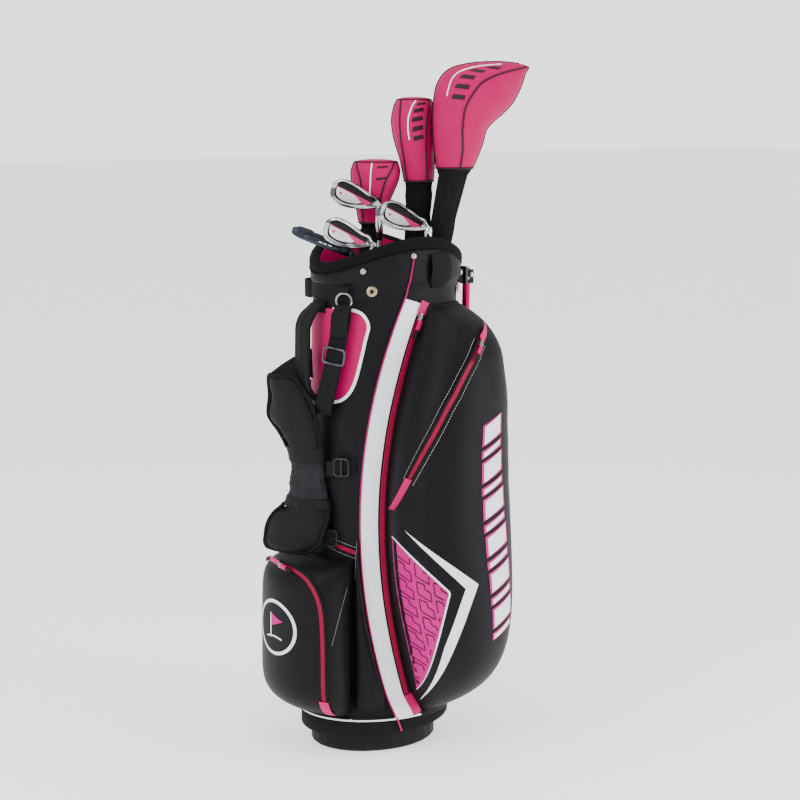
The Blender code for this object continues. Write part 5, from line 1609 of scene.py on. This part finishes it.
def putter():
    """A blade putter with a flange behind."""
    club = "putter"
    heel, toe, sole = blade_frame(club)

    def bar(name, stations, offset, finish="putter"):
        """A rounded bar from heel to toe. Each station is (along, low, high, half-depth)."""
        rings = []
        for along, low, high, half in stations:
            centre = heel + toe * along + sole * (low + high) / 2 + AWAY * offset
            tall = (high - low) / 2
            rings.append([centre + AWAY * half * u + sole * tall * v for u, v in rounded_square(28, 0.45)])
        return lofted(name, rings, finish, club)

    main_bar = [(0.000, -0.007, 0.004, 0.0065), (0.004, -0.009, 0.006, 0.0080), (0.030, -0.0095, 0.0085, 0.0085),
                (0.060, -0.0095, 0.0100, 0.0085), (0.092, -0.008, 0.0095, 0.0080), (0.102, -0.0055, 0.0080, 0.0065),
                (0.1055, -0.003, 0.0055, 0.0035)]
    head = bar("putter_bar", main_bar, 0.0015)
    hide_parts("putter_head")
    flange = [(0.018, -0.0055, 0.0010, 0.0040), (0.022, -0.0060, 0.0020, 0.0060), (0.050, -0.0060, 0.0030, 0.0062),
              (0.078, -0.0055, 0.0030, 0.0060), (0.082, -0.0050, 0.0020, 0.0040)]
    bar("putter_flange", flange, -0.0085)
    ridge = [(0.070, 0.0060, 0.0110, 0.0030), (0.075, 0.0060, 0.0125, 0.0042), (0.094, 0.0055, 0.0120, 0.0040),
             (0.099, 0.0050, 0.0095, 0.0025)]
    bar("putter_toe_weight", ridge, -0.0040)
    for i in range(3):
        dash = [(start + 0.0085 * i, -0.0018, -0.0004, 0.0004) for start in (0.034, 0.040)]
        bar("putter_dash_%d" % i, dash, -0.01485, "white_print")
    hosel(club, heel, toe, sole, "putter", 0.0062, 0.030)


# ---- Floor, light and camera ---------------------------------------------------------------------
CAMERA_AZIMUTH, CAMERA_ELEVATION, CAMERA_DISTANCE = 55.0, 9.0, 3.4
CAMERA_LENS = 89.0
CAMERA_AIM = Vector((0.0, 0.0, 0.60))
CAMERA_RIGHT, CAMERA_DROP = 0.0327, 0.0077    # how far the view is slid sideways and down


def area_light(name, place, size, power):
    data = bpy.data.lights.new(name, "AREA")
    data.shape = "RECTANGLE"
    data.size, data.size_y = size
    data.energy = power
    light = linked(name, data)
    light.location = place
    light.rotation_mode = "QUATERNION"
    light.rotation_quaternion = (CAMERA_AIM - place).to_track_quat("-Z", "Y")


def view_frame(elevation):
    """The directions to the right of the camera's view and back towards the camera."""
    a = math.radians(CAMERA_AZIMUTH)
    flat = math.cos(elevation)
    return (Vector((math.cos(a), math.sin(a), 0.0)),
            Vector((math.sin(a) * flat, -math.cos(a) * flat, math.sin(elevation))))


def studio():
    """A plain bright floor, a world for the metal to mirror, and three soft lights."""
    bm = bmesh.new()
    bmesh.ops.create_grid(bm, x_segments=1, y_segments=1, size=25.0)
    data = bpy.data.meshes.new("floor")
    bm.to_mesh(data)
    bm.free()
    floor = linked("floor", data)
    paper = Finish("studio paper", (0.93, 0.93, 0.93), 0.9, specular=0.1)
    paper.bump(paper.noise(90.0, 4.0), 0.0003, 0.2)
    set_inputs(paper.shader, {"Emission Color": WHITE, "Emission Strength": 0.9})
    data.materials.append(paper.material)
    world = bpy.data.worlds.new("studio")
    world.use_nodes = True
    nodes, join = world.node_tree.nodes, world.node_tree.links.new
    background = next(n for n in nodes if n.type == "BACKGROUND")
    set_inputs(background, {"Color": (0.97, 0.98, 1.0, 1.0)})
    # Bright panels and dark flats stand round the room, so that polished metal has something to show.
    around, panels = nodes.new("ShaderNodeTexCoord"), nodes.new("ShaderNodeTexWave")
    set_inputs(panels, {"Scale": 1.5, "Distortion": 3.0, "Detail": 0.0})
    shade = nodes.new("ShaderNodeMapRange")
    set_inputs(shade, {"To Min": 0.04, "To Max": 1.90})
    join(around.outputs["Generated"], panels.inputs["Vector"])
    join(panels.outputs["Fac"], shade.inputs["Value"])
    # The eye sees a plain, brighter wall.
    path, level = nodes.new("ShaderNodeLightPath"), nodes.new("ShaderNodeMapRange")
    set_inputs(level, {"To Max": 2.15})
    join(shade.outputs["Result"], level.inputs["To Min"])
    join(path.outputs["Is Camera Ray"], level.inputs["Value"])
    join(level.outputs["Result"], background.inputs["Strength"])
    bpy.context.scene.world = world
    right, front = view_frame(0.0)
    area_light("key", CAMERA_AIM + front * 1.9 - right * 1.6 + UP * 1.4, (0.9, 1.6), 40.0)
    area_light("side", CAMERA_AIM + front * 0.7 + right * 2.1 + UP * 0.3, (0.7, 1.8), 30.0)
    area_light("top", CAMERA_AIM + front * 0.4 + UP * 2.4, (1.4, 1.4), 26.0)


def camera():
    right, back = view_frame(math.radians(CAMERA_ELEVATION))
    data = bpy.data.cameras.new("camera")
    data.lens = CAMERA_LENS
    view = linked("camera", data)
    view.location = CAMERA_AIM + back * CAMERA_DISTANCE + right * CAMERA_RIGHT - back.cross(right) * CAMERA_DROP
    view.rotation_mode = "QUATERNION"
    view.rotation_quaternion = Matrix((right, back.cross(right), back)).transposed().to_quaternion()
    bpy.context.scene.camera = view


NODE_FINISHES = {      # each finish, and the CAD nodes that have it
    "collar_plastic": "base_collar top_collar club_divider", "foot_rubber": "foot_plate",
    "steel": "foot_hinge_pin leg_pin_right leg_pin_left actuator_rod", "nickel": "d_ring_right strap_glide",
    "buckle": "leg_bracket actuator_yoke", "leg": "leg_right leg_left", "tip_rubber": "leg_tip_right leg_tip_left",
    "graphite": "driver_shaft fairway_shaft hybrid_shaft", "black_enamel": "driver_head fairway_head hybrid_head",
    "putter": "putter_head",
}
ENDING_FINISHES = {"_grip": "grip_rubber", "_shaft": "steel", "_head": "chrome", "_cover": "pink_fabric",
                   "_sock": "knit"}


def node_finish(name):
    for finish, nodes in NODE_FINISHES.items():
        if name in nodes.split():
            return finish
    if name.startswith("zip_slider"):
        return "pink_enamel"
    return next((finish for ending, finish in ENDING_FINISHES.items() if name.endswith(ending)), "bag_fabric")


def finish_nodes():
    """Every CAD node that shows gets a procedural finish."""
    for name, obj in NODES.items():
        obj.data.materials.clear()
        obj.data.materials.append(M[node_finish(name)])


def main():
    finish_nodes()
    bag_skin()
    pockets()
    bands()
    side_prints()
    ball_trim()
    small_pocket_trim()
    base()
    cuff()
    handle_panel()
    strap_pads()
    straps()
    handle()
    hip_cushion()
    head_covers()
    for club in ("iron_7", "iron_9", "wedge"):
        iron(club)
    putter()
    zip_pulls()
    hardware()
    strap_flap()
    studio()
    camera()


main()
